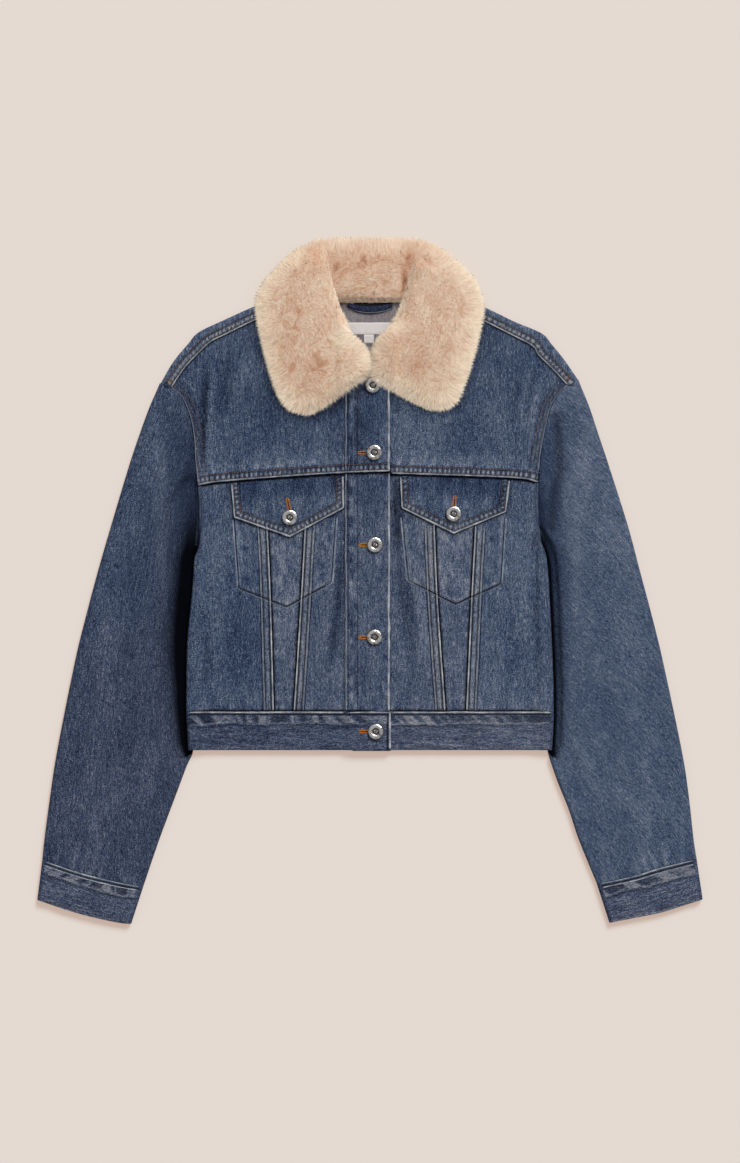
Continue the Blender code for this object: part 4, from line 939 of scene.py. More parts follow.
def bead_mesh(name, beads, top, finish):
    """All the worn edges as a mesh of low half-round ribbons on the cloth."""
    points, faces, grain, worn = [], [], [], []
    total = 0
    for line, half, rise, strength, seed in beads:
        z = top(line)
        z = np.maximum(z, np.maximum(np.append(z[1:], z[-1]), np.append(z[:1], z[:-1])) - 0.3)
        normal = unit(leftward(line))
        run = run_of(line)
        uneven = half * (1 + 0.3 * wave(run, 5, seed))
        ends = smooth(run / 3.0 + 0.2) * smooth((run[-1] - run) / 3.0 + 0.2)
        turns = np.radians([180, 140, 90, 40, 0])
        reach = np.cos(turns)[None, :, None] * (uneven * ends)[:, None, None]
        across = line[:, None] + normal[:, None] * reach
        up = z[:, None] + (rise * ends)[:, None] * (np.sin(turns)[None, :] * 1.25 - 0.25)
        points.append(stack(across, up).reshape(-1, 3))
        quads = quads_of(len(line), len(turns)) + total
        faces.append(quads[:, ::-1])
        total += len(line) * len(turns)
        across_mm = np.tile(np.linspace(0, 3, len(turns)), len(line))
        along_mm = np.repeat(run, len(turns))
        grain.append(np.stack([across_mm, along_mm * 3, np.full(len(across_mm), seed * 11.0)], axis=1))
        fade = strength * (0.8 + 0.3 * wave(run, 9, seed + 7)) - 0.8
        worn.append(np.repeat(0.55 * fade, len(turns)))
    worn = np.concatenate(worn)
    looks = {"grain": np.concatenate(grain), "wash": worn}
    looks.update({key: np.zeros(total) for key in ("worn", "painted_shade", "grey")})
    return make_mesh(name, np.concatenate(points), [np.concatenate(faces)], looks, finish, sharp=180)


# ---------------------------------------------------------------- body fronts


def fine_rows(table, count):
    """Rows between those of a table, along a smooth curve through each column."""
    flat = np.array([np.concatenate([np.atleast_1d(cell).ravel() for cell in row]) for row in table], float)
    wanted = np.linspace(0, len(flat) - 1, count)
    index = np.clip(wanted.astype(int), 0, len(flat) - 2)
    return catmull_rom(flat, index, (wanted - index)[:, None])


def collar_fringe(side):
    """Where the pile of a collar leaf ends: round its front and up its outer edge."""
    outer = fine_rows(LEAF[side], 60)[:, 2:4]
    return np.vstack([spline(FRINGE_FRONT[side], 40), outer[outer[:, 1] > FRINGE_FRONT[side][-1][1] + 4]])


def seam_lines():
    """Seams of the fronts as lines, for puckers beside them."""
    lines = {}
    for side in SIDES:
        for name, table in (("outer", OUTER_SEAM), ("inner", INNER_SEAM)):
            lines[name, side] = spline(table[side], 24)
        lines["yoke", side] = spline(YOKE_SEAM[side], 24)
    lines["waist", "left"] = np.array([(-203.0, WAIST_SEAM_Y), (0, WAIST_SEAM_Y)])
    lines["waist", "right"] = np.array([(0, WAIST_SEAM_Y), (203.0, WAIST_SEAM_Y)])
    return lines


SEAMS = seam_lines()


def nearness(x, y, lines, reach):
    """1 at any of the lines, fading to 0 away from them."""
    near = np.zeros(np.shape(x))
    for line in lines:
        distance, _ = from_line(line, x, y)
        near = np.maximum(near, np.exp(-np.abs(distance) / reach))
    return near


LEVEL_SEAMS = [line for (name, _), line in SEAMS.items() if name in ("yoke", "waist")]
UPRIGHT_SEAMS = [np.array(POCKET_BAG[side][low:low + 2], float) for side in SIDES for low in (0, 3)]
UPRIGHT_SEAMS += [np.array([(x, -142.0), (x, 226.0)]) for x in (LAP_RIDGE_X + 6, LAP_EDGE_X - 2)]


def bunching(x, y):
    """Folds that the sewing draws into the cloth: upright at level seams, and slanted at upright ones."""
    upright = rough(x + 0.15 * y, y, 3.4, 13.0, 19) + 0.6 * rough(x - 0.1 * y, y, 6.5, 24.0, 20)
    slanted = rough(x, y + 0.5 * x, 9.0, 4.2, 21) + 0.5 * rough(x, y - 0.4 * x, 5.0, 7.0, 22)
    total = upright * (0.2 + 0.8 * nearness(x, y, LEVEL_SEAMS, 10.0))
    return total + 0.9 * slanted * nearness(x, y, UPRIGHT_SEAMS, 8.0)


def wear(relief):
    """Change of the wash that rubbing gives: paler on ridges and darker in troughs."""
    return 0.09 * np.tanh(relief / 0.4)


def body_base(x, y):
    """The fronts' smooth top with its creases and unevenness: (height, painted shade in the creases, wear).
    """
    rise, dark = crease_lines(x, y)
    calm = button_mask(x, y) * (1 - 0.8 * near_edge(x, y))
    bunched = calm * bunching(x, y)
    rise = calm * (rise + undulation(x, y) + pocket_relief(x, y)) + 0.45 * bunched
    return front_top(x, y) + rise, dark * calm, wear(rise) + 0.07 * bunched


at_inner = {side: at_y(INNER_SEAM[side]) for side in SIDES}
at_outer = {side: at_y(OUTER_SEAM[side]) for side in SIDES}


def strip_rise(distance, y):
    """How far the felled strip of a V seam rises, by the distance from the seam."""
    on = 1 - smooth((distance - STRIP_WIDTH + 0.6) / 0.9)
    return STRIP_RAISE * on * smooth((STRIP_TOP_Y - y) / STRIP_FADE)


def center_height(side):
    """A function that gives the top of a centre front, with its strip and the lap of the left one."""

    def height(x, y):
        z = body_base(x, y)[0] + strip_rise(-SIGN[side] * (x - at_inner[side](y)), y)
        return z + lap_rise(x) if side == "left" else z

    return height


def side_height(side, x, y):
    """Top of a side front, with its strip."""
    return body_base(x, y)[0] + strip_rise(SIGN[side] * (x - at_outer[side](y)), y)


def plain_height(x, y):
    """Top of a mid front."""
    return body_base(x, y)[0]


def yoke_height(side, x, y):
    """Top of a front yoke, with the stitched band along its seam and the lap of the left one."""
    distance, _ = from_line(spline(YOKE_SEAM[side], 30), x, y)
    on = smooth(distance / 0.8 + 0.5) * (1 - smooth((distance - YOKE_BAND_WIDTH) / 1.6))
    if side == "right":
        on = on * smooth((x - 23.0) / 2.0)
    z = body_base(x, y)[0] + YOKE_BAND_RAISE * on
    return z + lap_rise(x) if side == "left" else z


FRONT_CLOTH = BODY_WALL - 0.3  # walls of the shells, a little thinner than the solids
BACK_CLOTH = BODY_WALL - 0.4
FRONT_DEPTH = 258  # of a front, from the waistband to the yoke
FRONT_STEP = 2.0  # between the rows of a front's grid
FRONT_TONE = {"left": 0.0, "right": 0.045}
# Distances of a grid's columns from its edge: plain, at the front edges, and over a felled strip
EDGE_MARKS = (0.0, 0.45, 1.1, 1.9, 2.9)
LAP_MARKS = (0.0, 0.45, 1.1, 2.0, 3.4)
STRIP_MARKS = (0.0, 0.45, 1.1, 1.9, 2.7, 3.4, 4.3, 6.0, 7.7, 8.5, 9.3, 10.2, 10.8, 11.4, 12.0, 12.8)


def rounded(distance, radius=0.9):
    """How far a surface drops at its rounded edge."""
    inside = np.clip(distance / radius, 0.0, 1.0)
    return radius * (1 - np.sqrt(1 - (1 - inside) ** 2)) * 0.8


def seam_effects(x, y, lines, wide=9.0):
    """Wrinkles, paleness and painted shade that front seams give the cloth beside them."""
    rise, pale, dark = (np.zeros(np.shape(x)) for _ in range(3))
    for seed, line in enumerate(lines):
        distance, where = from_line(line, x, y)
        distance = np.abs(distance)
        wrinkles = beside_pucker(distance, where, wide, 40 + 3 * seed)
        rise = rise + wrinkles
        pale = pale + 0.22 * np.exp(-distance / wide) * np.clip(wrinkles / 0.3, -0.6, 1.0)
        dark = np.maximum(dark, np.clip(1.3 * bell(distance, 2.1), 0, 1))
    return rise, pale, dark


def strip_looks(distance, where, y, seed):
    """(height, paleness, painted shade) of a felled seam strip, by the distance from its edge."""
    low, pale, _ = band_pucker(distance, where, STRIP_WIDTH, seed)
    rows = bell(distance - 2.9, 1.0) + 0.85 * bell(distance - 8.6, 0.9)
    on = smooth((STRIP_TOP_Y + 4 - y) / STRIP_FADE) * (distance < STRIP_WIDTH + 1.5)
    foot = bell(distance - STRIP_WIDTH - 0.6, 0.9)
    light = 0.16 + 0.14 * bell(distance - 10.2, 1.6)
    shade = 0.8 * foot + 0.85 * rows
    return 0.35 * low * on, (light + 0.2 * pale) * on * (distance < STRIP_WIDTH), shade * on


def flap_outline(side):
    """The corners of a flap, from one end of its seam round its free edge to the other."""
    top_left, top_right, right, tip, left = FLAP[side]
    return np.array([top_left, left, tip, right, top_right], float)


def pocket_looks(x, y):
    """(wash, painted shade) of the fronts at the pockets: rubbed over the bags, with painted shade along
    their stitching and the flaps' painted shadow.
    """
    wash, dark = np.zeros(np.shape(x)), np.zeros(np.shape(x))
    rubbed = 0.13 * rough(x + 0.35 * y, y, 4.6, 12, 61) + 0.07 * rough(x, y, 3.0, 4.0, 62)
    sewn = smooth((74 - y) / 6.0)
    for side in SIDES:
        distance, _ = from_line(POCKET_BAG[side], x, y)
        wash = wash + smooth((distance + 1.0) / 3.0) * smooth((80 - y) / 8.0) * rubbed
        dark = np.maximum(dark, 0.75 * sewn * bell(distance, 1.1))
        wash = wash + 0.16 * sewn * bell(distance - 2.6, 1.3)
        flap_edge, _ = from_line(flap_outline(side), x, y)
        dark = np.maximum(dark, 0.7 * np.exp(-np.clip(-flap_edge, 0, None) / 2.6) * (y < 118))
    return wash, dark


def panel_place(near, far, yoke_y):
    """A patch over a front panel between its side edges, which run from the waistband to the yoke."""
    xs = np.linspace(near[-1, 0], far[-1, 0], 40)
    top = np.stack([xs, yoke_y(xs) - SEAM_GAP / 2], axis=1)
    top[0], top[-1] = near[-1], far[-1]
    return patch(np.linspace(near[0], far[0], 20), top, near, far)


def panel_levels(depth):
    """Fractions up a front panel, closer together at its ends."""
    return row_fractions(depth, (0.0, 0.7, 1.6), (0.0, 1.0), round(FRONT_DEPTH / FRONT_STEP))


def front_piece(name, left_seam, right_seam, side, height, near, far, middle, lines, strip=None, seed=1):
    """A front panel between two seams, from the waistband to the yoke."""
    yoke_y = at_x(YOKE_SEAM[side])
    low = WAIST_SEAM_Y + SEAM_GAP / 2
    left, right = (
        seam_part(curve, low, float(yoke_y(curve[-1][0])) - SEAM_GAP / 2) for curve in (left_seam, right_seam)
    )
    levels = panel_levels(left[-1, 1] - low)
    xy = panel_rows(panel_place(left, right, yoke_y), levels, near, far, middle)
    x, y = xy[..., 0], xy[..., 1]
    _, dark, rubbed = body_base(x, y)
    rise, pale, shade = seam_effects(x, y, lines)
    z = height(x, y) + rise * button_mask(x, y)
    # Painted shade in the creases, along the seams and at the strip's foot and rows, and the flaps' painted
    # shadow
    painted_shade = np.maximum(dark, shade)
    if strip is not None:
        distance, where = from_line(strip, x, y)
        low_rise, low_pale, foot = strip_looks(np.abs(distance), where, y, seed + 60)
        z, pale, painted_shade = z + low_rise, pale + low_pale, np.maximum(painted_shade, foot)
    z = z - rounded(np.minimum(y - low, 3.0))
    rubbed_bag, flap_shade = pocket_looks(x, y)
    painted_shade = np.maximum(painted_shade, flap_shade)
    wash = fading(x, y) + rubbed + rubbed_bag + FRONT_TONE[side]
    wash = wash - 0.03 * bell(np.abs(x) - 45, 18)
    wash = wash - SIGN[side] * 0.07 * bell(np.abs(x) - 92, 16)
    looks = looks_of(x, y, seed, worn=np.maximum(pale, 0), painted_shade=painted_shade, wash=wash, grey=0.35)
    piece = shell(name, stack(xy, z), FRONT_CLOTH, FINISH["denim"], looks)
    dress(piece, name)
    cut_sheet(stack(xy, front_top(x, y)))


def seam_part(points, low, high, count=40):
    """Points of the curve x(y) between two levels."""
    x = at_y(points)
    y = np.linspace(low, high, count)
    return np.stack([x(y), y], axis=1)


def fading(x, y):
    """Where the wash has taken more or less of the dye."""
    panels = 0.05 * bell(np.abs(x) - 95, 26) * smooth((70 - y) / 30.0)
    bunched = bell(x + 19.5, 4.6) * np.tanh(2.0 * rough(x, y, 5, 9, 34))
    return panels + 0.03 * rough(x, y, 40, 60, 31) + 0.02 * np.tanh(x / 60) - 0.24 * bunched


def shifted(points, dx):
    """Points moved along X."""
    return np.asarray(points, float) + (dx, 0.0)


def center_and_mid_fronts():
    """The panels from the front edges to the outer seams."""
    gap = SEAM_GAP / 2
    lap, stand = (
        [(x, WAIST_SEAM_Y), (x, 0), (x, 122)] for x in (LAP_EDGE_X, STAND_EDGE_X)
    )
    inner = {side: shifted(INNER_SEAM[side], -SIGN[side] * gap) for side in SIDES}
    common = {side: [SEAMS["waist", side], SEAMS["yoke", side]] for side in SIDES}
    front_piece("front_center_left", inner["left"], lap, "left", center_height("left"), STRIP_MARKS,
                LAP_MARKS, 38, common["left"], SEAMS["inner", "left"], seed=2)
    front_piece("front_center_right", stand, inner["right"], "right", center_height("right"), LAP_MARKS,
                STRIP_MARKS, 38, common["right"], SEAMS["inner", "right"], seed=3)
    for k, side in enumerate(SIDES):
        seams = [shifted(OUTER_SEAM[side], -SIGN[side] * gap), shifted(INNER_SEAM[side], SIGN[side] * gap)]
        seams.sort(key=lambda seam: seam[0, 0])
        lines = [*common[side], SEAMS["outer", side], SEAMS["inner", side]]
        front_piece(f"front_mid_{side}", *seams, side, plain_height, EDGE_MARKS, EDGE_MARKS, 20, lines,
                    seed=4 + k)


SIDE_TURNS = np.radians(np.arange(0, 181, 18))  # round the fold at the body's side
# The level below which painted shade darkens the fold at the body's side
SIDE_TRENCH_TOP = {"left": 84, "right": 60}  # the level below which the fold is dark


def side_place(side):
    """A patch over a side front, from its strip to the body's side."""
    sign = SIGN[side]
    yoke_y = at_x(YOKE_SEAM[side])
    low = WAIST_SEAM_Y + SEAM_GAP / 2
    high_out = float(yoke_y(ARMHOLE[side][7][0])) - SEAM_GAP / 2
    high_in = float(yoke_y(OUTER_SEAM[side][-1][0])) - SEAM_GAP / 2
    ys = np.linspace(low, high_out, 60)
    outer = np.stack([side_x[side](ys) - sign * SEAM_GAP / 2 * (1 - fold_amount(side, ys)), ys], axis=1)
    inner = seam_part(shifted(OUTER_SEAM[side], sign * SEAM_GAP / 2), low, high_in)
    return panel_place(inner, outer, yoke_y)


def side_grid(side):
    """(x, y) of a side front's rows up to the fold, and of their outer ends."""
    place = side_place(side)
    radius = EDGE_HEIGHT / 2
    far = (radius, radius + 1.2, radius + 3.0, radius + 5.5)
    flats, ends_out = [], []
    for v in panel_levels(FRONT_DEPTH):
        ends = place(np.array([0.0, 1.0]), np.full(2, v))
        u = row_fractions(np.linalg.norm(ends[1] - ends[0]), STRIP_MARKS, far, 32)
        flats.append(place(u, np.full(len(u), v)))
        ends_out.append(ends[1])
    return np.array(flats), np.array(ends_out)


def side_fold(side, edge_x, edge_y):
    """Points that turn round the body's side to the back, and stay flat along the armhole."""
    sign, radius = SIGN[side], EDGE_HEIGHT / 2
    across = edge_x - sign * np.linspace(radius, 0.0, len(SIDE_TURNS))
    level = np.broadcast_to(edge_y, across.shape)
    middle = lift(edge_x, edge_y) + radius
    fold = np.stack([edge_x - sign * radius + sign * radius * np.sin(SIDE_TURNS), level,
                     middle + radius * np.cos(SIDE_TURNS)], axis=-1)
    flat = np.stack([across, level, front_top(across, level)], axis=-1)
    return flat + fold_amount(side, edge_y)[..., None] * (fold - flat)


def side_front(side):
    """The side panel, folded round the body's side and down to the back."""
    sign = SIGN[side]
    flats, ends_out = side_grid(side)
    x, y = flats[..., 0], flats[..., 1]
    edge_x, edge_y = ends_out[:, :1], ends_out[:, 1:]
    turned = side_fold(side, edge_x, edge_y)

    def with_fold(flat, folded=0.0):
        """Values of the flat part, whose last column the fold replaces, and those of the fold."""
        return np.concatenate([flat[:, :-1], np.broadcast_to(folded, turned.shape[:2])], axis=1)

    rise, pale, shade = seam_effects(x, y, [SEAMS["waist", side], SEAMS["yoke", side]])
    distance, where = from_line(SEAMS["outer", side], x, y)
    low_rise, low_pale, foot = strip_looks(np.abs(distance), where, y, 70 + int(sign))
    calm = 1 - near_edge(x, y)
    low = WAIST_SEAM_Y + SEAM_GAP / 2
    z = side_height(side, x, y) + rise * calm + low_rise - rounded(np.minimum(y - low, 3.0))
    _, dark, rubbed = body_base(x, y)
    rubbed_bag, flap_shade = pocket_looks(x, y)
    # Painted shade in the creases, along the seams, at the strip and under the flaps, and on the fold round
    # the body's side below the trench's top
    painted_shade = np.maximum(np.maximum(dark, shade * calm), np.maximum(foot, flap_shade))
    painted_fold_shade = smooth((np.arange(len(SIDE_TURNS)) - 1.0) / 5.0)
    trench = smooth((SIDE_TRENCH_TOP[side] - edge_y) / 40.0)
    rows = np.concatenate([stack(flats, z)[:, :-1], turned], axis=1)
    smooth_rows = np.concatenate([stack(flats, front_top(x, y))[:, :-1], turned], axis=1)
    gx, gy = with_fold(x, edge_x + sign * np.arange(len(SIDE_TURNS))), rows[..., 1]
    wash = fading(gx, gy) + with_fold(rubbed + rubbed_bag)
    looks = looks_of(gx, gy, 8 + sign, worn=np.maximum(with_fold(pale + low_pale), 0),
                     painted_shade=with_fold(painted_shade, 0.95 * painted_fold_shade * trench), wash=wash)
    piece = shell(f"front_side_{side}", rows, FRONT_CLOTH, FINISH["denim"], looks, flip=sign < 0)
    dress(piece, f"front_side_{side}")
    cut_sheet(smooth_rows)


YOKE_DEPTH = 130.0  # of the front yokes, from their seam up
YOKE_MARKS = (0.0, 0.5, 1.2, 2.4, 3.6, 5.0, 6.4, 7.6, 8.8, 9.9, 10.7, 11.6, 13.0)
# Strength of the collar leaves' shadow, painted on each yoke round their fringe
COLLAR_SHADE = {"left": 0.62, "right": 0.42}


def yoke_grid(side):
    """(x, y) of a front yoke, with its rows closer together in the stitched band along its seam."""
    gap = SEAM_GAP / 2
    edge_x = LAP_EDGE_X if side == "left" else STAND_EDGE_X
    armhole = spline(ARMHOLE[side][1:8])[::-1] - (SIGN[side] * gap, 0)
    xs = np.linspace(armhole[0, 0], edge_x, 60)
    seam = np.stack([xs, at_x(YOKE_SEAM[side])(xs) + YOKE_GAP - gap], axis=1)
    forward = spline(FORWARD_SEAM[side], 60)[1:] - (0, YOKE_GAP)
    neck = spline(FRONT_NECK[side], 30)[1:]
    neck[-1, 0] = edge_x
    top = np.vstack([armhole[-1:], forward, neck])
    seam[0] = armhole[0]
    place = patch(seam, top, armhole, np.linspace(seam[-1], top[-1], 20))
    bands = np.array(YOKE_MARKS) / YOKE_DEPTH
    levels = np.concatenate([bands, np.linspace(bands[-1], 1, 50)[1:]])
    return place(*np.meshgrid(np.linspace(0, 1, 170), levels))


def front_yoke(side):
    """The yoke, with its stitched band, the folds at the armhole, painted shade in its seams and folds, and
    the collar's painted shadow.
    """
    xy = yoke_grid(side)
    x, y = xy[..., 0], xy[..., 1]
    _, dark, rubbed = body_base(x, y)
    distance, where = from_line(spline(YOKE_SEAM[side], 30), x, y)
    low_rise, low_pale, low_dark = band_pucker(distance, where, YOKE_BAND_WIDTH, 81)
    in_band = (distance < YOKE_BAND_WIDTH + 1) * 1.0
    above = beside_pucker(distance - YOKE_BAND_WIDTH, where, 8.0, 84) * (distance > YOKE_BAND_WIDTH)
    arm, arm_where = from_line(spline(ARMHOLE[side][1:8], 24), x, y)
    arm = np.abs(arm)
    lines = 0.5 + 0.5 * np.cos(2 * math.pi * (arm - 1.2 + 0.7 * wave(arm_where, 20, 91)) / 3.5)
    lines = lines * (0.7 + 0.3 * wave(arm_where, 16, 92)) * (1 - smooth((arm - 9) / 4.0))
    in_arm = (1 - smooth((arm - 10.5) / 2.0)) * smooth((distance - 9) / 4.0)
    folds = np.sin(2 * math.pi * (arm + 1.6 * wave(arm_where, 34, 93)) / 4.6)
    folds = folds * smooth((arm - 9) / 3.0) * (1 - smooth((arm - 17) / 9.0))
    folds = folds * (0.7 + 0.3 * wave(arm_where, 19, 94))
    folds = folds * smooth((y - 138) / 20.0) * (1 - smooth((y - 222) / 16.0))
    shoulder, shoulder_where = from_line(spline(FORWARD_SEAM[side], 24), x, y)
    under = beside_pucker(np.abs(shoulder), shoulder_where, 7.0, 96)
    rise = low_rise * in_band + 0.8 * above + 0.7 * (0.5 * lines) * in_arm + 0.7 * under + 0.35 * folds
    z = yoke_height(side, x, y) + rise * button_mask(x, y)
    pale = low_pale * in_band + 0.6 * (0.35 * lines) * in_arm + 0.2 * np.clip(above / 0.3, -0.3, 1)
    # Wash: darker near the armhole, in the band and towards the top, paler above the band, and lighter on the
    # folds' crests and darker in their troughs as painted light and shade
    wash = fading(x, y) + rubbed - 0.05 * in_arm - 0.02 * in_band - 0.04 * smooth((y - 150) / 60.0)
    wash = wash + 0.07 * bell(distance - 17, 7.0) + 0.12 * folds
    # Painted shade at the shoulder seam, in the band's rows, between the armhole lines and along the armhole,
    # and the collar's painted shadow round its fringe
    painted_shade = np.maximum(dark, 0.7 * bell(shoulder, 1.8))
    painted_shade = np.maximum(painted_shade, np.maximum(low_dark * in_band, 0.8 * (0.45 * (1 - lines)) * in_arm))
    painted_shade = np.maximum(painted_shade, 0.35 * bell(arm - 1.5, 1.6))
    fringe, _ = from_line(collar_fringe(side), x, y)
    painted_shade = np.maximum(painted_shade, COLLAR_SHADE[side] * bell(fringe, 9.0))
    looks = looks_of(x, y, 12 + SIGN[side], worn=np.maximum(pale, 0), painted_shade=painted_shade, wash=wash)
    name = f"front_yoke_{side}"
    piece = shell(name, stack(xy, z), FRONT_CLOTH, FINISH["denim"], looks, flip=side == "right")
    dress(piece, name)
    cut_sheet(stack(xy, front_top(x, y)))


FLAP_MARKS = (0.0, 0.4, 1.0, 2.0, 3.2, 4.6, 6.2, 8.0, 9.4)  # distances of its grid's lines from its edge
FLAP_CLOTH = FLAP_WALL - 0.3


def flap_grid(side):
    """(x, y) of a flap, closer together in its border and with a column at its point."""
    top_left, left, _, right, top_right = flap_outline(side)
    edge = flap_outline(side)[1:4]
    place = patch(edge, np.linspace(top_left, top_right, 9), np.linspace(left, top_left, 5),
                  np.linspace(right, top_right, 5))
    run = run_of(edge)
    middle = round((np.linalg.norm(top_right - top_left) - 2 * FLAP_MARKS[-1]) / 1.25)
    levels = np.concatenate([np.array(FLAP_MARKS) / 50, np.linspace(0.22, 1, 17)])
    u = np.sort(np.append(row_fractions(run[-1], FLAP_MARKS, FLAP_MARKS, middle), run[1] / run[-1]))
    return place(*np.meshgrid(u, levels))


def pocket_flap(side):
    """A pointed flap over the chest pocket, sewn in at the yoke seam and double-stitched round its border."""
    xy = flap_grid(side)
    x, y = xy[..., 0], xy[..., 1]
    distance, where = from_line(flap_outline(side), x, y)
    distance = np.abs(distance)
    base = flap_height(x, y)
    border, pale, rows_dark = band_pucker(distance, where, 9.6, 101 + int(SIGN[side]))
    in_border = (distance < 10) * 1.0
    rise = 0.9 * border * in_border - rounded(distance) + 0.2 * rough(x, y, 9, 14, 104) * button_mask(x, y)
    seam_y = at_x(YOKE_SEAM[side])(x)
    top_dark = smooth((y - (seam_y - 30)) / 20.0)
    wash = 0.01 - 0.15 * top_dark + 0.09 * rough(x, y, 8, 22, 105) + 0.06 * rough(x, y, 5, 7, 106)
    # Painted shade along the yoke seam and in the border's stitch rows
    painted_shade = np.maximum(0.35 * bell(seam_y - y, 2.0), 0.9 * rows_dark * in_border)
    looks = looks_of(x, y, 16 + SIGN[side], worn=0.9 * pale * in_border, wash=wash, painted_shade=painted_shade)
    name = f"pocket_flap_{side}"
    piece = shell(name, stack(xy, base + rise), FLAP_CLOTH, FINISH["denim"], looks)
    dress(piece, name)
    cut_sheet(stack(xy, base))
    for inset in (2.2, 7.9):
        sew(inset_flap(side, inset), half=0.32, rise=0.12)
    edge_bead(inset_flap(side, 0.7), half=0.85, rise=0.3, strength=1.1, seed=111)


def inset_flap(side, inset):
    """The flap's free outline, moved in."""
    corners = flap_outline(side)
    moved = []
    for k, corner in enumerate(corners):
        normals = []
        for a, b in ((k - 1, k), (k, k + 1)):
            if a >= 0 and b < len(corners):
                step = corners[b] - corners[a]
                normals.append(np.array([-step[1], step[0]]) / np.linalg.norm(step))
        mean = np.mean(normals, axis=0)
        moved.append(corner + inset * mean / (mean @ mean))
    return np.array(moved)


def flap_height(x, y):
    """Top of the flaps, flat on the fronts."""
    return LAP_UNDER + FLAP_WALL + 0.25 * rough(x, y, 30, 30, 14) * button_mask(x, y)


# ---------------------------------------------------------------- back and shoulders


def back_edge(side, y):
    """The back's side edge: the armhole above, the inner end of the side fold below."""
    sign = SIGN[side]
    inward = SEAM_GAP / 2 + (EDGE_HEIGHT / 2 + SEAM_GAP) * fold_amount(side, y)
    return side_x[side](y) - sign * inward


BACK_SEAM = {"left": [(-66, 128), (-58, 0), (-44, -141)], "right": [(66, 128), (58, 0), (44, -141)]}


def back_relief(x, y):
    """Height of the back's underside over the floor: troughs along its seams."""
    total = 0.12 * (1 + rough(x, y, 24, 50, 15))
    for side in SIDES:
        distance, _ = from_line(spline(BACK_SEAM[side], 20), x, y)
        total = total + 0.5 * bell(distance, 1.4)
    return total


BACK_MARKS = (0, 2.5, 5, 7.5, 10, 14)


def back_panel():
    """The back, flat on the floor, with its two felled seams."""
    low, high = WAIST_SEAM_Y + SEAM_GAP / 2, BACK_YOKE_Y - SEAM_GAP / 2
    rows = []
    for y in np.linspace(low, high, 66):
        left, right = (float(back_edge(side, y)) for side in SIDES)
        u = row_fractions(right - left, BACK_MARKS, BACK_MARKS, 84)
        rows.append(np.stack([left + (right - left) * u, np.full(len(u), y)], axis=1))
    xy = np.array(rows)
    x, y = xy[..., 0], xy[..., 1]
    bottom = lift(x, y)
    outside = stack(xy, bottom + back_relief(x, y))
    piece = shell("back_panel", outside, BACK_CLOTH, FINISH["denim"], looks_of(x, y, 20), flip=True)
    dress(piece, "back_panel")
    cut_sheet(stack(xy, bottom + BODY_WALL))
    for side in SIDES:
        line = spline(BACK_SEAM[side], 40)
        for away in (2.0, 8.0):
            sew_under(offset(line, SIGN[side] * -away))


def sew_under(line):
    """A row of stitches on the underside, at the floor."""
    start, end = stitches_along(line, STITCH_PITCH, STITCH_SHARE)
    low, high = (stack(spots, lift(spots[:, 0], spots[:, 1]) + 0.35) for spots in (start, end))
    back_rows.append(np.concatenate([low, high, np.full((len(start), 1), STITCH_HALF)], axis=1))


FLOOR_ROWS = 16  # of the back yoke's grid, up the floor
STRIP_ROWS = 12  # from the shoulder folds forward to the seams


def back_yoke_place():
    """A patch over the back yoke's floor, and the share of its upper edge that each shoulder takes up."""
    gap = SEAM_GAP / 2
    low = BACK_YOKE_Y + gap
    left = spline(ARMHOLE["left"][:7])[::-1] + (3 * gap, 0)
    right = spline(ARMHOLE["right"][:8])[::-1] - (gap, 0)
    left = left[left[:, 1] >= low]
    right = right[right[:, 1] >= low]
    left[0, 1] = right[0, 1] = low
    fold_left = spline(SHOULDER_FOLD["left"], 60) + (gap, 0)
    fold_right = spline(SHOULDER_FOLD["right"], 60)[::-1] - (gap, 0)
    outline = np.vstack([fold_left, np.array(BACK_NECK[1:-1], float), fold_right])
    share = run_of(fold_left)[-1] / run_of(outline)[-1]
    return patch(np.linspace(left[0], right[0], 30), outline, left, right), share


def back_yoke_grid(radius):
    """Rows up the floor, round the shoulder folds and forward, and which of their points are cloth."""
    gap = SEAM_GAP / 2
    place, share = back_yoke_place()
    shoulder_u = np.linspace(0, share, 90)
    u = np.concatenate([shoulder_u, np.linspace(share, 1 - share, 40)[1:-1], 1 - shoulder_u[::-1]])
    on_shoulder = (u <= share + 1e-9) | (u >= 1 - share - 1e-9)
    edge = place(u, np.ones(len(u)))
    base = place(u, np.full(len(u), 0.9))
    back = (base - edge) / np.linalg.norm(base - edge, axis=1)[:, None]
    inset = np.where(on_shoulder, radius, 0.0)[:, None]
    rows = []
    for v in np.linspace(0, 1, FLOOR_ROWS):
        rows.append(stack(place(u, np.full(len(u), v)) + back * inset * v, 0.0))
    for turn in np.radians(np.arange(15, 181, 15)):
        rows.append(stack(edge + back * (radius - radius * math.sin(turn)), radius - radius * math.cos(turn)))
    start = edge + back * radius
    forward = {side: at_x(FORWARD_SEAM[side])(start[:, 0]) for side in SIDES}
    nearer = np.where(start[:, 0] < 0, forward["left"], forward["right"])
    end = np.stack([start[:, 0], np.minimum(nearer + gap, start[:, 1] - 1.0)], axis=1)
    for side, index in (("left", 0), ("right", len(u) - 1)):
        end[index] = np.array(ARMHOLE[side][1]) + (-SIGN[side] * gap, 2 * gap)
    for k in range(1, STRIP_ROWS + 1):
        rows.append(stack(start + (end - start) * k / STRIP_ROWS, FRONT_TOP))
    keep = [np.ones(len(u), bool)] * FLOOR_ROWS + [on_shoulder] * (len(rows) - FLOOR_ROWS)
    return np.array(rows), np.array(keep)


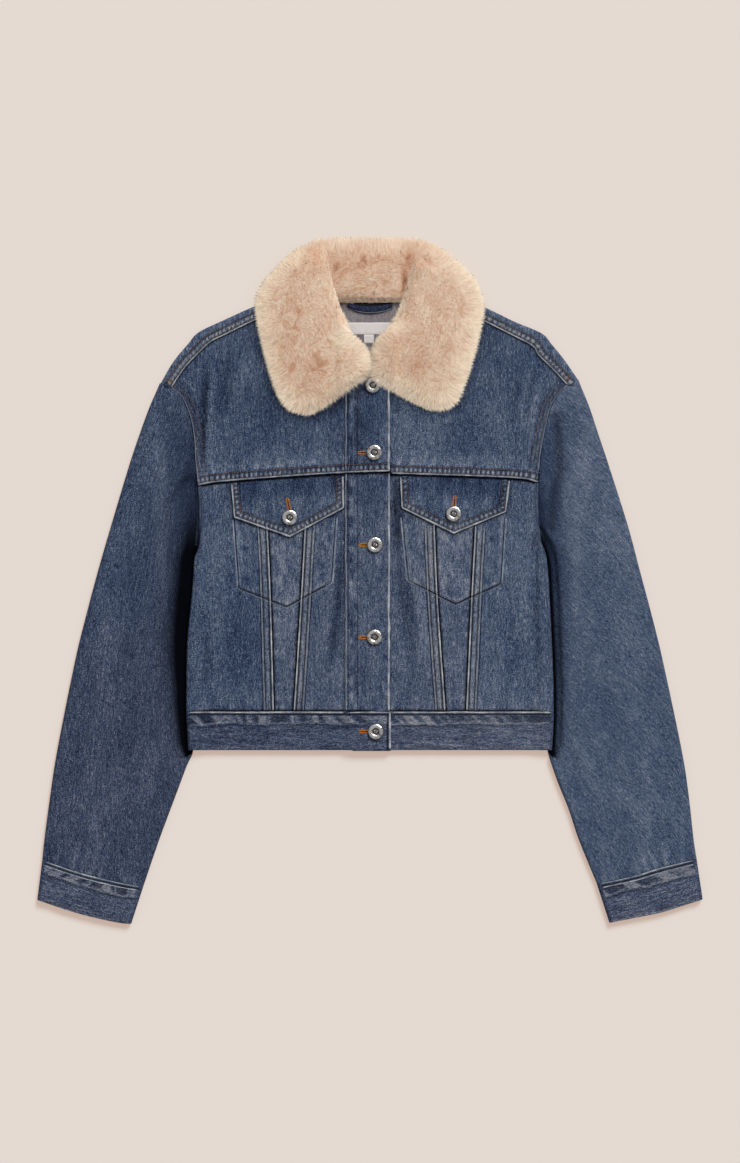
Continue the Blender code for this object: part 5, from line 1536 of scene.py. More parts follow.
def back_yoke():
    """Flat on the floor, turned over both shoulders to the forward seams, open at the neck."""
    radius = FRONT_TOP / 2
    rows, keep = back_yoke_grid(radius)
    smooth_rows = rows.copy()
    x, y = rows[..., 0], rows[..., 1]
    top = (np.arange(len(rows)) >= FLOOR_ROWS)[:, None] & keep
    pale, painted_shade = np.zeros(x.shape), np.zeros(x.shape)
    for side in SIDES:
        distance, where = from_line(spline(FORWARD_SEAM[side], 40), x, y)
        distance = np.abs(distance)
        rise, light, dark = band_pucker(distance, where, 9.5, 121 + int(SIGN[side]))
        here = top & (SIGN[side] * x > 0) & (rows[..., 2] > radius)
        rows[..., 2] += np.where(here, 1.1 * rise * (distance < 10) - rounded(distance, 0.8), 0.0)
        pale += np.where(here & (distance < 10), 1.35 * light, 0.0)
        # Painted shade in the rows and troughs of the shoulder band
        painted_shade += np.where(here & (distance < 10), 0.95 * dark, 0.0)
    rows[:FLOOR_ROWS, :, 2] += (0.12 * (1 + rough(x, y, 24, 50, 16)))[:FLOOR_ROWS]
    looks = looks_of(x, y, 24, worn=pale, painted_shade=painted_shade, wash=0.06 * top)
    piece = shell("back_yoke", rows, BACK_CLOTH, FINISH["denim"], looks, keep=keep, flip=True)
    dress(piece, "back_yoke")
    cut_sheet(smooth_rows[:FLOOR_ROWS])
    inside_yoke()
    for side in SIDES:
        shoulder_sewing(side)


def shoulder_sewing(side):
    """Two rows, a worn edge and a bartack at the forward seam of a shoulder."""
    line = spline(FORWARD_SEAM[side], 60)
    toward = -SIGN[side]
    for away in (2.2, 8.2):
        sew(offset(line, away * toward)[3:], half=0.32)
    edge_bead(offset(line, 0.9 * toward), half=0.7, strength=1.2, seed=130)
    bartack = respaced(line, 1.2)
    near, far = offset(bartack, 1.0 * toward), offset(bartack, 9.4 * toward)
    for k in (2, 3, 4, 5):
        sew(np.array([near[k], far[k]]), pitch=2.4, share=0.92, half=0.36)


def inside_yoke():
    """The reverse of the back yoke, which shows inside the neck, with painted shadow under the loop and the
    collar.
    """
    low, high = 232, 304.9
    u, v = np.meshgrid(np.linspace(-58, 58, 48), np.linspace(low, high, 32))
    upper = np.interp(u, [-58, -46, -30, 30, 46, 58], [317, 310, 308, 308, 310, 317])
    y = low + (v - low) / (high - low) * (upper - low)
    z = BODY_WALL + 0.05 + 0.25 * (1 + rough(u, y, 16, 12, 17)) * smooth((y - low) / 20)
    loop_edge = LOOP_PLACE[1] - 3.6 + LOOP_SAG * ((2 * u / LOOP_SIZE[0]) ** 2 - 0.4)
    under_loop = np.exp(-np.clip(loop_edge - y, 0, None) / 2.0) * (np.abs(u) < LOOP_SIZE[0] / 2)
    # Painted shade: darker towards the bottom, a painted shadow under the loop, and darker towards the sides
    # under the collar
    shade = 0.26 * (1 - smooth((y - 262) / 26)) + 0.92 * under_loop
    shade = np.maximum(shade, 0.55 * smooth((np.abs(u) - 20) / 20))
    looks = looks_of(u, y, 25, painted_shade=np.clip(shade, 0, 0.9), wash=0.10 * smooth((y - 286) / 10))
    piece = shell("back_yoke_reverse", np.stack([u, y, z], axis=-1), 0.3, FINISH["reverse"], looks)
    dress(piece, None)
    cut_sheet(np.stack([u, y, np.full(u.shape, BODY_WALL)], axis=-1))


# ---------------------------------------------------------------- waistband, sleeves and cuffs


def band_detail(x, down, seed):
    """(height, paleness, painted shade) of a two-layer band: wrinkles at its seam, a ridge with painted
    shadow below it, and streaks.
    """
    ridge_at = 13.0 + 1.6 * wave(x, 24, seed) + 0.8 * wave(x, 9, seed + 1)
    ridge = bell(down - ridge_at, 1.3)
    strength = 0.75 + 0.25 * wave(x, 33, seed + 2)
    upper = smooth((down - 3.6) / 2.0) * (1 - smooth((down - ridge_at + 1.5) / 2.5))
    slant = x + 1.5 * (down - 8) * (0.5 + 0.7 * wave(x, 45, seed + 3))
    folds = np.tanh(2.2 * (wave(slant, 6.5, seed + 4) + 0.6 * wave(slant, 2.8, seed + 8)))
    below = smooth((down - ridge_at - 2.0) / 3.0)
    streaks = 0.8 * rough(x, down, 16, 1.7, seed + 5) + 0.7 * rough(x, down + 0.03 * x, 26, 2.6, seed + 9)
    streaks = streaks * below
    patches = rough(x, down, 30, 9, seed + 6)
    height = 0.8 * ridge * strength + 0.8 * upper * folds + 0.30 * streaks - rounded(down, 1.0)
    pale = 0.30 * ridge * strength + 0.36 * upper * np.clip(folds, 0, 1) + 0.13 * np.clip(streaks, 0, 1)
    pale = pale + 0.05 * np.clip(patches, 0, 1) * smooth((down - 18) / 6.0)
    dark = upper * (0.12 + 0.44 * np.clip(-folds, 0, 1)) + 0.34 * np.clip(-streaks, 0, 1)
    dark = dark + 0.62 * bell(down - ridge_at - 2.4, 1.1) * strength
    dark = np.maximum(dark, 0.85 * bell(down - 2.9, 1.0))
    return height, pale, dark


def band_downs(depth):
    """Distances of a band's rows from its seam."""
    return np.array([0.0, 0.5, 1.2, 2.0, 2.9, 3.9, *np.linspace(5.0, depth - 1.6, 29), depth - 0.8, depth])


def band_half(side, y, radius):
    """(x, z, 1 on its top) of the waistband from the middle to a side, and round the fold there."""
    sign = SIGN[side]
    edge = float(side_x[side](y))
    raised = float(lift(edge, y))
    start = LAP_RIDGE_X - 0.5 if side == "left" else STAND_EDGE_X
    xs = np.linspace(start, edge - sign * radius, 130)
    inside = sign * (edge - xs) - radius
    tops = BAND_TOP + (raised - BAND_EDGE_DROP) * (1 - smooth(inside / EDGE_SLOPE))
    path = [(x, top, 1.0) for x, top in zip(xs, tops)]
    for turn in np.radians(np.arange(18, 163, 18)):
        across = edge - sign * radius * (1 - math.sin(turn))
        path.append((across, raised + radius + radius * math.cos(turn), 0.0))
    return path


def band_path(y):
    """(x, z, 1 on its top) of a level of the waistband, from its lap round the back to its other end."""
    radius = (BAND_TOP - BAND_EDGE_DROP) / 2
    lap = [LAP_EDGE_X + 1.2, LAP_EDGE_X + 0.8, LAP_EDGE_X + 0.1]
    lap += list(np.linspace(LAP_EDGE_X - 1, LAP_RIDGE_X + LAP_RIDGE_WIDTH, 30))
    left, right = (float(side_x[side](y)) for side in SIDES)
    under = [(x, float(lift(x, y)), 0.0) for x in np.linspace(left + radius, right - radius, 60)]
    path = [(x, BAND_LAP_TOP, 1.0) for x in lap] + band_half("left", y, radius) + under
    return path + band_half("right", y, radius)[::-1]


def waistband():
    """One band from the left lap round the back to the right lap's end under it."""
    seam_y = WAIST_SEAM_Y - SEAM_GAP / 2
    depth = seam_y - HEM_Y
    downs = band_downs(depth)
    paths = np.array([band_path(y) for y in seam_y - downs])
    tops = paths[..., 2]
    down = np.broadcast_to(downs[:, None], tops.shape)
    rows = np.stack([paths[..., 0], seam_y - down, paths[..., 1]], axis=-1)
    run = np.broadcast_to(run_of(rows[0]), tops.shape)
    height, pale, dark = band_detail(run, down, 141)
    x, y = rows[..., 0], rows[..., 1]
    calm = button_mask(x, y) * tops
    smooth_rows = rows.copy()
    rows[..., 2] += height * calm - rounded(depth - down, 1.0) * tops
    lap_end = tops * (x > LAP_EDGE_X - 2) * (rows[..., 2] > BAND_TOP + 1.2)
    rows[..., 2] -= 0.7 * rounded(LAP_EDGE_X + 1.2 - x, 1.0) * lap_end
    in_lap = (run < 60) * tops
    rows[..., 1] -= 0.9 * smooth((x + 21) / 3) * in_lap * smooth((down - 20) / 20)
    # Painted shade along the dark stitch row of the lap's end, and in the band's folds and below its ridge
    lap_row = 0.75 * bell(x - LAP_EDGE_X + 2.4, 1.0) * in_lap
    painted_shade = np.clip(np.maximum(dark * calm, lap_row), 0, 0.85)
    wash = -0.075 - 0.10 * (1 - tops) + 0.04 * rough(run, down, 50, 20, 148) + 0.12 * smooth(x / 40)
    looks = looks_of(down, run, 28, worn=pale * calm, painted_shade=painted_shade, wash=wash, grey=0.6)
    piece = shell("waistband", rows, BAND_WALL - 0.4, FINISH["denim"], looks)
    dress(piece, "waistband")
    cut_sheet(smooth_rows)


def ridge_height(ridges, x, y):
    """Soft ridges along line segments, fading out at both ends."""
    total = np.zeros(np.shape(x))
    for start, end, half, height in ridges:
        (x0, y0), (x1, y1) = start, end
        length = math.hypot(x1 - x0, y1 - y0)
        dx, dy = (x1 - x0) / length, (y1 - y0) / length
        t = ((x - x0) * dx + (y - y0) * dy) / length
        away = (x - x0) * dy - (y - y0) * dx
        ends = smooth((t + 0.15) / 0.3) * smooth((1.15 - t) / 0.3)
        total = total + height * ends * bell(away, half)
    return total


def trough_share(side, x, y):
    """1 in the trough between sleeve and body, 0 on the sleeve's crown."""
    sign = SIGN[side]
    beside = sign * (x - np.where(y > HEM_Y - 8, side_x[side](y), sign * 120.0))
    width = trough_width[side](y)
    share = (1 - smooth((beside - width) / 5.0)) * smooth((120 - y) / 10.0)
    return np.where(width > 0.2, share, 0.0), beside, width


def fold_share(x, y):
    """1 in the fold of the right sleeve beside the armhole."""
    within = smooth((192 - y) / 12.0) * smooth((y - 48) / 12.0)
    return within * bell(x - at_y(ARMHOLE_FOLD)(y), ARMHOLE_FOLD_HALF)


def sleeve_height(side, x, y):
    """Top of the sleeve: its crown, a low ridge along the trough beside the body, and the trough."""
    in_trough, beside, width = trough_share(side, x, y)
    crown = FRONT_TOP + 1.0 * smooth((150 - y) / 120.0) + ridge_height(SLEEVE_RIDGES[side], x, y)
    crown = crown + 1.6 * bell(beside - width - 7, 7) * smooth((110 - y) / 60.0)
    if side == "right":
        crown = crown - ARMHOLE_FOLD_DEPTH * fold_share(x, y)
    low = TUCK_MARGIN + (crown - TUCK_MARGIN) * smooth((HEM_Y - 3 - y) / 14.0)
    return crown + (low - crown) * in_trough


QUARTER = np.radians([18, 36, 54, 72])  # from a fold's side up to its top
FOLD_INWARD = np.array([1 - math.sin(turn) for turn in QUARTER])
FOLD_UPWARD = np.array([1 + math.cos(turn) for turn in QUARTER])


def tube_rings(place, levels, height, top_marks, bottom_count):
    """Rings of a flattened tube, from its outer fold over the top, and which points are on the top."""
    rings, on_top = [], []
    for v in levels:
        across = place(np.linspace(0.0, 1.0, 5), np.full(5, v))
        width = np.linalg.norm(np.diff(across, axis=0), axis=1).sum()
        ends = place(np.array([0.0, 1.0]), np.full(2, v))
        tops = height(ends[:, 0], ends[:, 1])
        radii = np.minimum(tops / 2, FOLD_RADIUS_MOST)
        d_top = np.clip(top_marks(width), radii[0], width - radii[1])
        d_low = np.linspace(width - radii[1], radii[0], bottom_count)
        outer_d, outer_z = radii[0] * FOLD_INWARD[::-1], tops[0] / 2 * FOLD_UPWARD[::-1]
        inner_d, inner_z = width - radii[1] * FOLD_INWARD, tops[1] / 2 * FOLD_UPWARD
        ring_d = np.concatenate([outer_d, d_top, inner_d, [width], inner_d[::-1], d_low, outer_d[::-1],
                                 [0.0]])
        ring_z = np.concatenate([outer_z, np.full(len(d_top), np.nan), inner_z, tops[1:] / 2,
                                 tops[1] - inner_z[::-1], np.zeros(bottom_count), tops[0] - outer_z[::-1],
                                 tops[:1] / 2])
        free = np.isnan(ring_z)
        xy = place(ring_d / width, np.full(len(ring_d), v))
        rings.append(stack(xy, np.where(free, height(xy[:, 0], xy[:, 1]), ring_z)))
        on_top.append(free)
    return np.array(rings), np.array(on_top)


def run_round(rings):
    """How far round its ring each point is, in millimetres."""
    return np.cumsum(np.linalg.norm(np.diff(rings, axis=1, prepend=rings[:, :1]), axis=2), axis=1)


def sleeve_place(side):
    """The sleeve seen from above: u from its outer to its inner edge, v from armhole to cuff."""
    sign = SIGN[side]
    armhole = spline(ARMHOLE[side]) + (sign * (ARMHOLE_GAP - SEAM_GAP / 2), 0)
    cuff = spline(CUFF_SEAM[side]) + (0, SEAM_GAP)
    outer = spline(SLEEVE_OUTER[side])
    inner = spline(SLEEVE_INNER[side], 90)
    outer[0], outer[-1] = armhole[0], cuff[0]
    inner[0], inner[-1] = armhole[-1], cuff[-1]
    return patch(armhole, cuff, outer, inner)


# Creases of the sleeves, for the left one and, mirrored, the right one: line, half width, height
SLEEVE_CREASES = [
    ([(-226, 196), (-222, 168), (-212, 140)], 5.0, -0.8),
    ([(-240, 180), (-238, 150), (-228, 110)], 6.0, 0.6),
    ([(-252, 120), (-246, 70), (-236, 30)], 7.0, -0.6),
    ([(-232, 60), (-228, 0), (-224, -60)], 6.0, 0.7),
    ([(-262, 30), (-256, -30), (-250, -80)], 8.0, -0.6),
    ([(-286, -20), (-292, -70), (-302, -120)], 7.0, 0.6),
    ([(-250, -100), (-262, -150), (-268, -210)], 7.0, -0.7),
    ([(-232, -170), (-244, -220), (-256, -262)], 6.0, 0.6),
    ([(-318, -150), (-322, -200), (-330, -250)], 6.0, -0.6),
    ([(-300, -230), (-304, -262), (-306, -296)], 5.0, 0.6),
    ([(-278, -240), (-278, -270), (-282, -306)], 4.0, -0.5),
    ([(-338, -262), (-334, -282), (-336, -300)], 4.0, 0.5),
]


SLEEVE_LENGTH = 560
SLEEVE_TONE = {"left": -0.09, "right": 0.02}
SLEEVE_TONE_ABOVE = {"left": 0.03, "right": 0.06}  # added in its upper half
SLEEVE_UNEVEN = {"left": 0.2, "right": 0.34}
SLEEVE_GRAIN = {"left": (-0.12, 1.0), "right": (0.48, 1.3)}  # slant and fineness
# Painted shade beside the armhole and the body: levels, and how much at each of them
BESIDE_LEVELS = (-160, 20, 90, 170, 195)
BESIDE_SHADE = {"left": (0.0, 0.12, 0.20, 0.12, 0.0), "right": (0.10, 0.26, 0.30, 0.18, 0.0)}
# Reach of the painted shade in the left trough, as a share of its width: levels and shares
TROUGH_LEVELS = (-120, -20, 30, 70, 110)
TROUGH_REACH = (1.1, 0.9, 0.66, 0.5, 0.32)


def sleeve_marks(width):
    """Distances across a sleeve's top from its outer fold, closer together at its inner one."""
    from_inner = np.array([0.0, 1.5, 3.0, 4.5, 6.0, 7.0, 8.0, 9.5, 11.0])
    return np.concatenate([np.linspace(0.0, width - 12.6, 58), width - from_inner[::-1]])


def sleeve_levels(side):
    """Fractions down a sleeve, closer together at its ends and where it comes out from under the hem."""
    inner = spline(SLEEVE_INNER[side], 200)
    share = run_of(inner) / run_of(inner)[-1]
    hem = float(np.interp(-HEM_Y + 4.0, -inner[:, 1], share))
    return np.unique(np.concatenate([[0.0, 0.003, 0.007], np.linspace(0.012, 0.99, 165),
                                     [hem, hem + 0.012, hem + 0.025, 0.994, 0.9975, 1.0]]))


def sleeve_relief(side, x, y, gx, gy):
    """Height of a sleeve's creases, its unevenness and the puckers at its seams."""
    rise = np.zeros(x.shape)
    for k, (line, half, bump) in enumerate(SLEEVE_CREASES):
        curve = spline([(px * -SIGN[side], py) for px, py in line], 12)
        distance, where = from_line(curve, x, y)
        length = run_of(curve)[-1]
        ends = smooth(where / (0.3 * length)) * smooth((length - where) / (0.3 * length))
        rise = rise + bump * ends * bell(distance + 1.5 * wave(where, 16, k), half)
    rise = rise + 0.3 * rough(gx, gy, 24, 60, 151) + 0.24 * rough(gx, gy, 9, 26, 152)
    rise = rise + SLEEVE_UNEVEN[side] * rough(gx + 0.3 * gy, gy, 5, 15, 153)
    armhole, where = from_line(spline(ARMHOLE[side], 30), x, y)
    rise = rise + 0.8 * beside_pucker(np.abs(armhole), where, 10.0, 155)
    cuff_seam, where = from_line(spline(CUFF_SEAM[side], 20), x, y)
    rise = rise + 1.1 * beside_pucker(np.abs(cuff_seam), where, 17.0, 158)
    return rise - rounded(np.abs(cuff_seam), 1.2)


def sleeve_shade(side, x, y):
    """Painted shade on a sleeve's top: in the trough beside the body or in its fold, and on the slope above.
    """
    in_trough, beside, width = trough_share(side, x, y)
    inward = np.clip(beside, 0, None)
    if side == "left":
        spread = (width + 4.0) * np.interp(y, TROUGH_LEVELS, TROUGH_REACH)
        painted_shade = np.clip(1.5 * bell(inward, spread), 0, 1.0) * smooth((108 - y) / 75.0) * (width > 0.2)
    else:
        narrow = np.clip(1.3 * bell(inward, 5.0), 0, 1) * smooth((60 - y) / 20.0)
        painted_shade = np.maximum(narrow, 0.45 * fold_share(x - 1.0, y))
    near_wall = np.exp(-np.clip(beside - width - 4, 0, None) / 7.0) * (in_trough < 0.5)
    return np.maximum(painted_shade, 0.28 * near_wall * smooth((120 - y) / 40.0))


def sleeve_wash(side, x, y, gx, gy, on_top):
    """Wash of a sleeve: streaks up from its cuff, and painted shade beside the armhole and the body."""
    cuff_seam, where = from_line(spline(CUFF_SEAM[side], 20), x, y)
    cuff_seam = np.abs(cuff_seam)
    streaked = wave(where + 0.3 * cuff_seam * wave(where, 30, 170), 5.0, 171)
    streaked = np.exp(-cuff_seam / 20.0) * np.clip(streaked, -0.4, 1.0) * on_top
    wash = SLEEVE_TONE[side] + 0.17 * streaked + 0.02 * rough(gx, gy, 46, 90, 159)
    wash = wash + SLEEVE_TONE_ABOVE[side] * smooth((y + 60) / 120)
    armhole, _ = from_line(spline(ARMHOLE[side], 30), x, y)
    beside = np.where(y > 50, np.abs(armhole), np.abs(trough_share(side, x, y)[1]))
    shaded = np.interp(y, BESIDE_LEVELS, BESIDE_SHADE[side])
    wash = wash - shaded * bell(beside, np.interp(y, [-100, 60], [12.0, 21.0]))
    if side == "left":
        wash = wash + 0.06 * bell(beside - 38, 8.0) * smooth((y + 60) / 60)
    return wash


def sleeve(side):
    """A flattened tube with the listed creases, that is tucked a little under the body."""
    levels = sleeve_levels(side)

    def height(x, y):
        return sleeve_height(side, x, y)

    rings, on_top = tube_rings(sleeve_place(side), levels, height, sleeve_marks, 14)
    smooth_rings = rings.copy()
    x, y = rings[..., 0], rings[..., 1]
    gx, gy = run_round(rings), np.broadcast_to(levels[:, None] * SLEEVE_LENGTH, x.shape)
    in_trough = trough_share(side, x, y)[0]
    crown = on_top * (1 - in_trough) * smooth((height(x, y) - 5.0) / 3.0)
    rise = sleeve_relief(side, x, y, gx, gy)
    rings[..., 2] += rise * crown
    worn = 0.05 * np.clip(rise / 0.6, 0, 1) * crown
    # Painted shade in the trough beside the body, in the fold and on the slope above
    painted_shade = np.clip(sleeve_shade(side, x, y) * on_top, 0, 1.0)
    grey = 0.15 + (0.15 + 0.35 * smooth((20 - y) / 150) if side == "left" else 0.0)
    wash = sleeve_wash(side, x, y, gx, gy, on_top) + 0.4 * wear(rise) * crown
    slant, fine = SLEEVE_GRAIN[side]
    grain_x = (gx + slant * gy) * fine
    looks = looks_of(grain_x, gy, 32 + SIGN[side], worn=worn, painted_shade=painted_shade, wash=wash, grey=grey)
    name = f"sleeve_{side}"
    piece = shell(name, rings, 1.2, FINISH["denim"], looks, ring=True, flip=side == "left")
    dress(piece, name)
    cut_sheet(smooth_rings, ring=True)


def armhole_allowance(side):
    """The seam allowance of the armhole, which closes the gap between body and sleeve, darkened all over with
    painted shade.
    """
    curve = spline(ARMHOLE[side], 60)[6:]
    aways = np.array([-3.0, -1.0, 1.0, 3.0])
    rows = np.stack([stack(offset(curve, away), 5.2 - 0.15 * abs(away)) for away in aways], axis=1)
    if side == "right":
        rows = rows[:, ::-1]
    # Painted shade darkens the whole strip, which lies in the gap
    looks = looks_of(rows[..., 0], rows[..., 1], 50, painted_shade=0.75)
    piece = shell(f"armhole_allowance_{side}", rows, 1.0, FINISH["denim"], looks, flip=True)
    dress(piece, None)


CUFF_DEPTH = 44.0


def cuff(side):
    """A flattened tube below the sleeve, with wrinkles at its seam and its rows of stitches."""
    sign = SIGN[side]
    top = spline(CUFF_SEAM[side])
    bottom = spline(CUFF_HEM[side])
    place = patch(top, bottom, np.linspace(top[0], bottom[0], 12), np.linspace(top[-1], bottom[-1], 12))
    downs = band_downs(CUFF_DEPTH)

    def height(x, _):
        return np.full(np.shape(x), CUFF_HEIGHT)

    def marks(width):
        return np.linspace(FOLD_RADIUS_MOST, width - FOLD_RADIUS_MOST, 84)

    rings, on_top = tube_rings(place, downs / CUFF_DEPTH, height, marks, 20)
    smooth_rings = rings.copy()
    run = run_round(rings)
    down = np.broadcast_to(downs[:, None], run.shape)
    rise, pale, dark = band_detail(run + 400 * sign, down, 161)
    rings[..., 2] += (rise - rounded(CUFF_DEPTH - down, 1.2)) * (on_top * smooth((run - 6) / 10))
    # The band's darkness is painted shade in its folds, below its ridge and at its seam
    looks = looks_of(down, run, 36 + sign, worn=(pale + 0.25 * smooth((down - 41.5) / 2)) * on_top,
                     painted_shade=np.clip(dark, 0, 0.85) * on_top, wash=-0.02 - 0.06 * (~on_top), grey=0.6)
    name = f"cuff_{side}"
    piece = shell(name, rings, 1.6, FINISH["denim"], looks, ring=True, flip=sign < 0)
    dress(piece, name)
    cut_sheet(smooth_rings, ring=True)

    def level_line(v):
        """A line across the cuff's top at a fraction of its depth."""
        return place(np.linspace(0.04, 0.96, 40), np.full(40, v))

    sew(level_line(2.9 / CUFF_DEPTH), rise=0.15, kind="dark_stitch")
    edge_bead(level_line(0.0) - (0, 0.8), half=0.8, seed=171)
    edge_bead(level_line(4.9 / CUFF_DEPTH), half=0.7, seed=173)
    sew(level_line(1 - 5.0 / CUFF_DEPTH), half=0.22, rise=0.0)


# ---------------------------------------------------------------- topstitching of the fronts


def front_sewing():
    """Rows of stitches and worn edges along the seams of the fronts."""
    for side in SIDES:
        first = spline(YOKE_SEAM[side], 80)
        if side == "right":
            first = first[first[:, 0] > LAP_EDGE_X + 1.5]
        for up in (3.0, 9.2):
            sew(first + (0, up))
        edge_bead(first + (0, 1.5), half=0.8, seed=181)
        strip_sewing(side)
        pocket_sewing(side)
        armhole_sewing(side)


def armhole_sewing(side):
    """A double row on the yoke, a single one on the side front, and the worn edge of the seam."""
    sign = SIGN[side]
    armhole = spline(ARMHOLE[side][1:8], 60)
    for inset in (2.9, 9.0):
        sew(armhole[2:-4] - (sign * inset, 0), half=0.32)
    sew(spline(ARMHOLE[side][7:], 30) - (sign * 2.9, 0), half=0.2, rise=0.05, kind="dark_stitch")
    edge = spline(ARMHOLE[side][1:8], 90) - (sign * 0.95, 0)
    edge_bead(edge, half=0.5, rise=0.3, strength=0.62, seed=193)


def strip_sewing(side):
    """Two close rows and a worn edge on each felled strip of the V seams."""
    for name, table in (("outer", OUTER_SEAM), ("inner", INNER_SEAM)):
        away = SIGN[side] if name == "outer" else -SIGN[side]
        low, high = WAIST_SEAM_Y + 1.5, (62.0 if name == "outer" else 64.0)
        line = seam_part(table[side], low, high, 60)
        for inset in (2.7, 8.8):
            sew(line + (away * inset, 0), pitch=2.2, share=0.66, half=0.6, rise=0.18, kind="dark_stitch")
        edge_bead(line + (away * 0.9, 0), half=0.66, strength=1.25, seed=185)
        edge_bead(line + (away * (STRIP_WIDTH - 0.5), 0), half=0.5, rise=0.2, strength=0.7, seed=187)


def pocket_sewing(side):
    """The stitching of a pocket bag: dark along its point, on worn ridges along its sides."""
    bag = respaced(POCKET_BAG[side], 2.0)
    bag = bag[bag[:, 1] < 72]
    middle = bag[:, 0].mean()
    low = np.array(POCKET_BAG[side])[1:4:2, 1].max() + 1.0
    point = bag[bag[:, 1] < low]
    sew(point, pitch=3.0, share=0.92, half=0.75, rise=0.16, kind="dark_stitch")
    edge_bead(point - (0, 1.9), half=0.5, rise=0.2, strength=0.5, seed=189)
    for outward in (-1.0, 1.0):
        part = bag[(outward * (bag[:, 0] - middle) > 0) & (bag[:, 1] > low - 6)]
        sew(part, pitch=2.6, share=0.7, half=0.34, rise=0.2, kind="dark_stitch")
        edge_bead(part + (outward * 1.5, 0), half=0.9, rise=0.3, strength=0.72, seed=191)
        edge_bead(part - (outward * 1.5, 0), half=0.6, rise=0.2, strength=0.5, seed=192)


# Worn edges of the front lap: x, half width, strength, seed
LAP_BEADS = [
    (LAP_EDGE_X - 0.9, 1.0, 1.2, 201),
    (LAP_RIDGE_X + 1.8, 0.8, 0.72, 205),
    (LAP_RIDGE_X + 9.5, 0.45, 0.28, 206),
]


def placket_sewing():
    """The front lap's worn edge and stitched ridge."""
    for low, high in ((WAIST_SEAM_Y + 1, 120), (122, 226)):
        ys = np.linspace(low, high, 80)
        for x, half, strength, seed in LAP_BEADS:
            line = np.stack([x + 0.4 * wave(ys, 12, seed), ys], axis=1)
            edge_bead(line, half=half, strength=strength, seed=seed)
        for x in (LAP_RIDGE_X - 0.4, LAP_RIDGE_X + 4.0, LAP_RIDGE_X + 14.4):
            sew(np.stack([np.full(80, x), ys], axis=1), pitch=2.4, share=0.7, half=0.5, rise=0.14,
                kind="dark_stitch")
        sew(np.stack([np.full(80, LAP_EDGE_X - 3.2), ys], axis=1), half=0.2, rise=0.0)
    edge = np.stack([np.full(20, LAP_EDGE_X + 0.2), np.linspace(HEM_Y + 1.5, WAIST_SEAM_Y - 0.6, 20)], axis=1)
    edge_bead(edge, half=1.0, rise=0.3, strength=1.2, seed=207)
    sew(edge - (2.0, 0), pitch=3.2, share=0.85, half=0.85, kind="dark_stitch")


def buttonhole(center, direction, length):
    """A worked slit: a dark cut between satin stitches that meet in a point at its far end."""
    direction = np.array(direction, float) / math.hypot(*direction)
    normal = np.array([-direction[1], direction[0]])
    rng = np.random.default_rng(int(abs(center[0] * 10 + center[1])))
    count = round(length / 0.7)
    for k in range(count):
        t = (k + 0.5) / count
        middle = np.array(center) + direction * (t * length)
        half = 2.2 * min(1.0, 0.62 + 2.6 * t) * (1 + 0.12 * rng.uniform(-1, 1))
        inner = 0.45 * min(1.0, 3.0 * t)
        lean = direction * rng.uniform(-0.25, 0.25)
        for way in (-1.0, 1.0):
            a, b = middle + normal * way * inner, middle + normal * way * half + lean
            stitch_rows["buttonhole"].append(np.array([(*a, *b, 0.46, 0.28)]))
    slit = np.array([center + direction * 0.25 * length, center + direction * length])
    sew(slit, pitch=2.0, share=1.0, half=0.5, rise=0.1, kind="dark_stitch")


def buttonholes():
    """At the front buttons except the top one, and in both flaps."""
    for x, y in FRONT_BUTTONS[1:]:
        buttonhole((x - BUTTON_RADIUS - 9.5, y - 0.5), (1, 0.02), 14.5)
    buttonhole((-91.3, 92.4), (3.0, -14.0), 15.0)
    buttonhole((93.3, 95.0), (-0.8, -12.0), 13.5)


def waist_sewing():
    """Along the waistband's top edge, from side to side."""
    for low, high in ((-199, LAP_RIDGE_X - 1), (LAP_RIDGE_X + 5, LAP_EDGE_X - 1), (LAP_EDGE_X + 3, 199)):
        xs = np.linspace(low, high, 60)
        y = WAIST_SEAM_Y - SEAM_GAP / 2
        edge_bead(np.stack([xs, y - 0.9 + 0.25 * wave(xs, 25, 9)], axis=1), half=0.8, strength=1.15, seed=211)
        sew(np.stack([xs, y - 2.6 + 0.3 * wave(xs, 17, 10)], axis=1), pitch=3.0, share=0.9, half=0.6,
            kind="dark_stitch")
        sew(np.stack([xs, np.full(60, HEM_Y + 3.0)], axis=1), half=0.18, rise=-0.05)


# ---------------------------------------------------------------- fur


def leaf_base(side, x):
    """Underside of a collar leaf: on the yoke, and higher over the front lap."""
    over_lap = LAP_TOP - FRONT_TOP
    if side == "left":
        return FRONT_TOP + LEAF_CLEARANCE + over_lap * smooth((x + 40) / 9.0)
    return FRONT_TOP + LEAF_CLEARANCE + over_lap * (1 - smooth((x - 26) / 10.0))


BACKING_DEPTH = 3.2  # from the pad's outside to the cloth backing that shows between the locks
STRAND_LEVELS = (0.0, 0.45, 1.0)
STRAND_HALF = 0.25
LOCK_SIZE = 4.4
FRINGE_REACH = (9.0, 16.0)  # how far from the free edge the pile is straight, and where it is curly again
OVERHANG = 5.0  # of the longest tips past the free edge
TUFT_SIZE = 3.6  # along the free edge
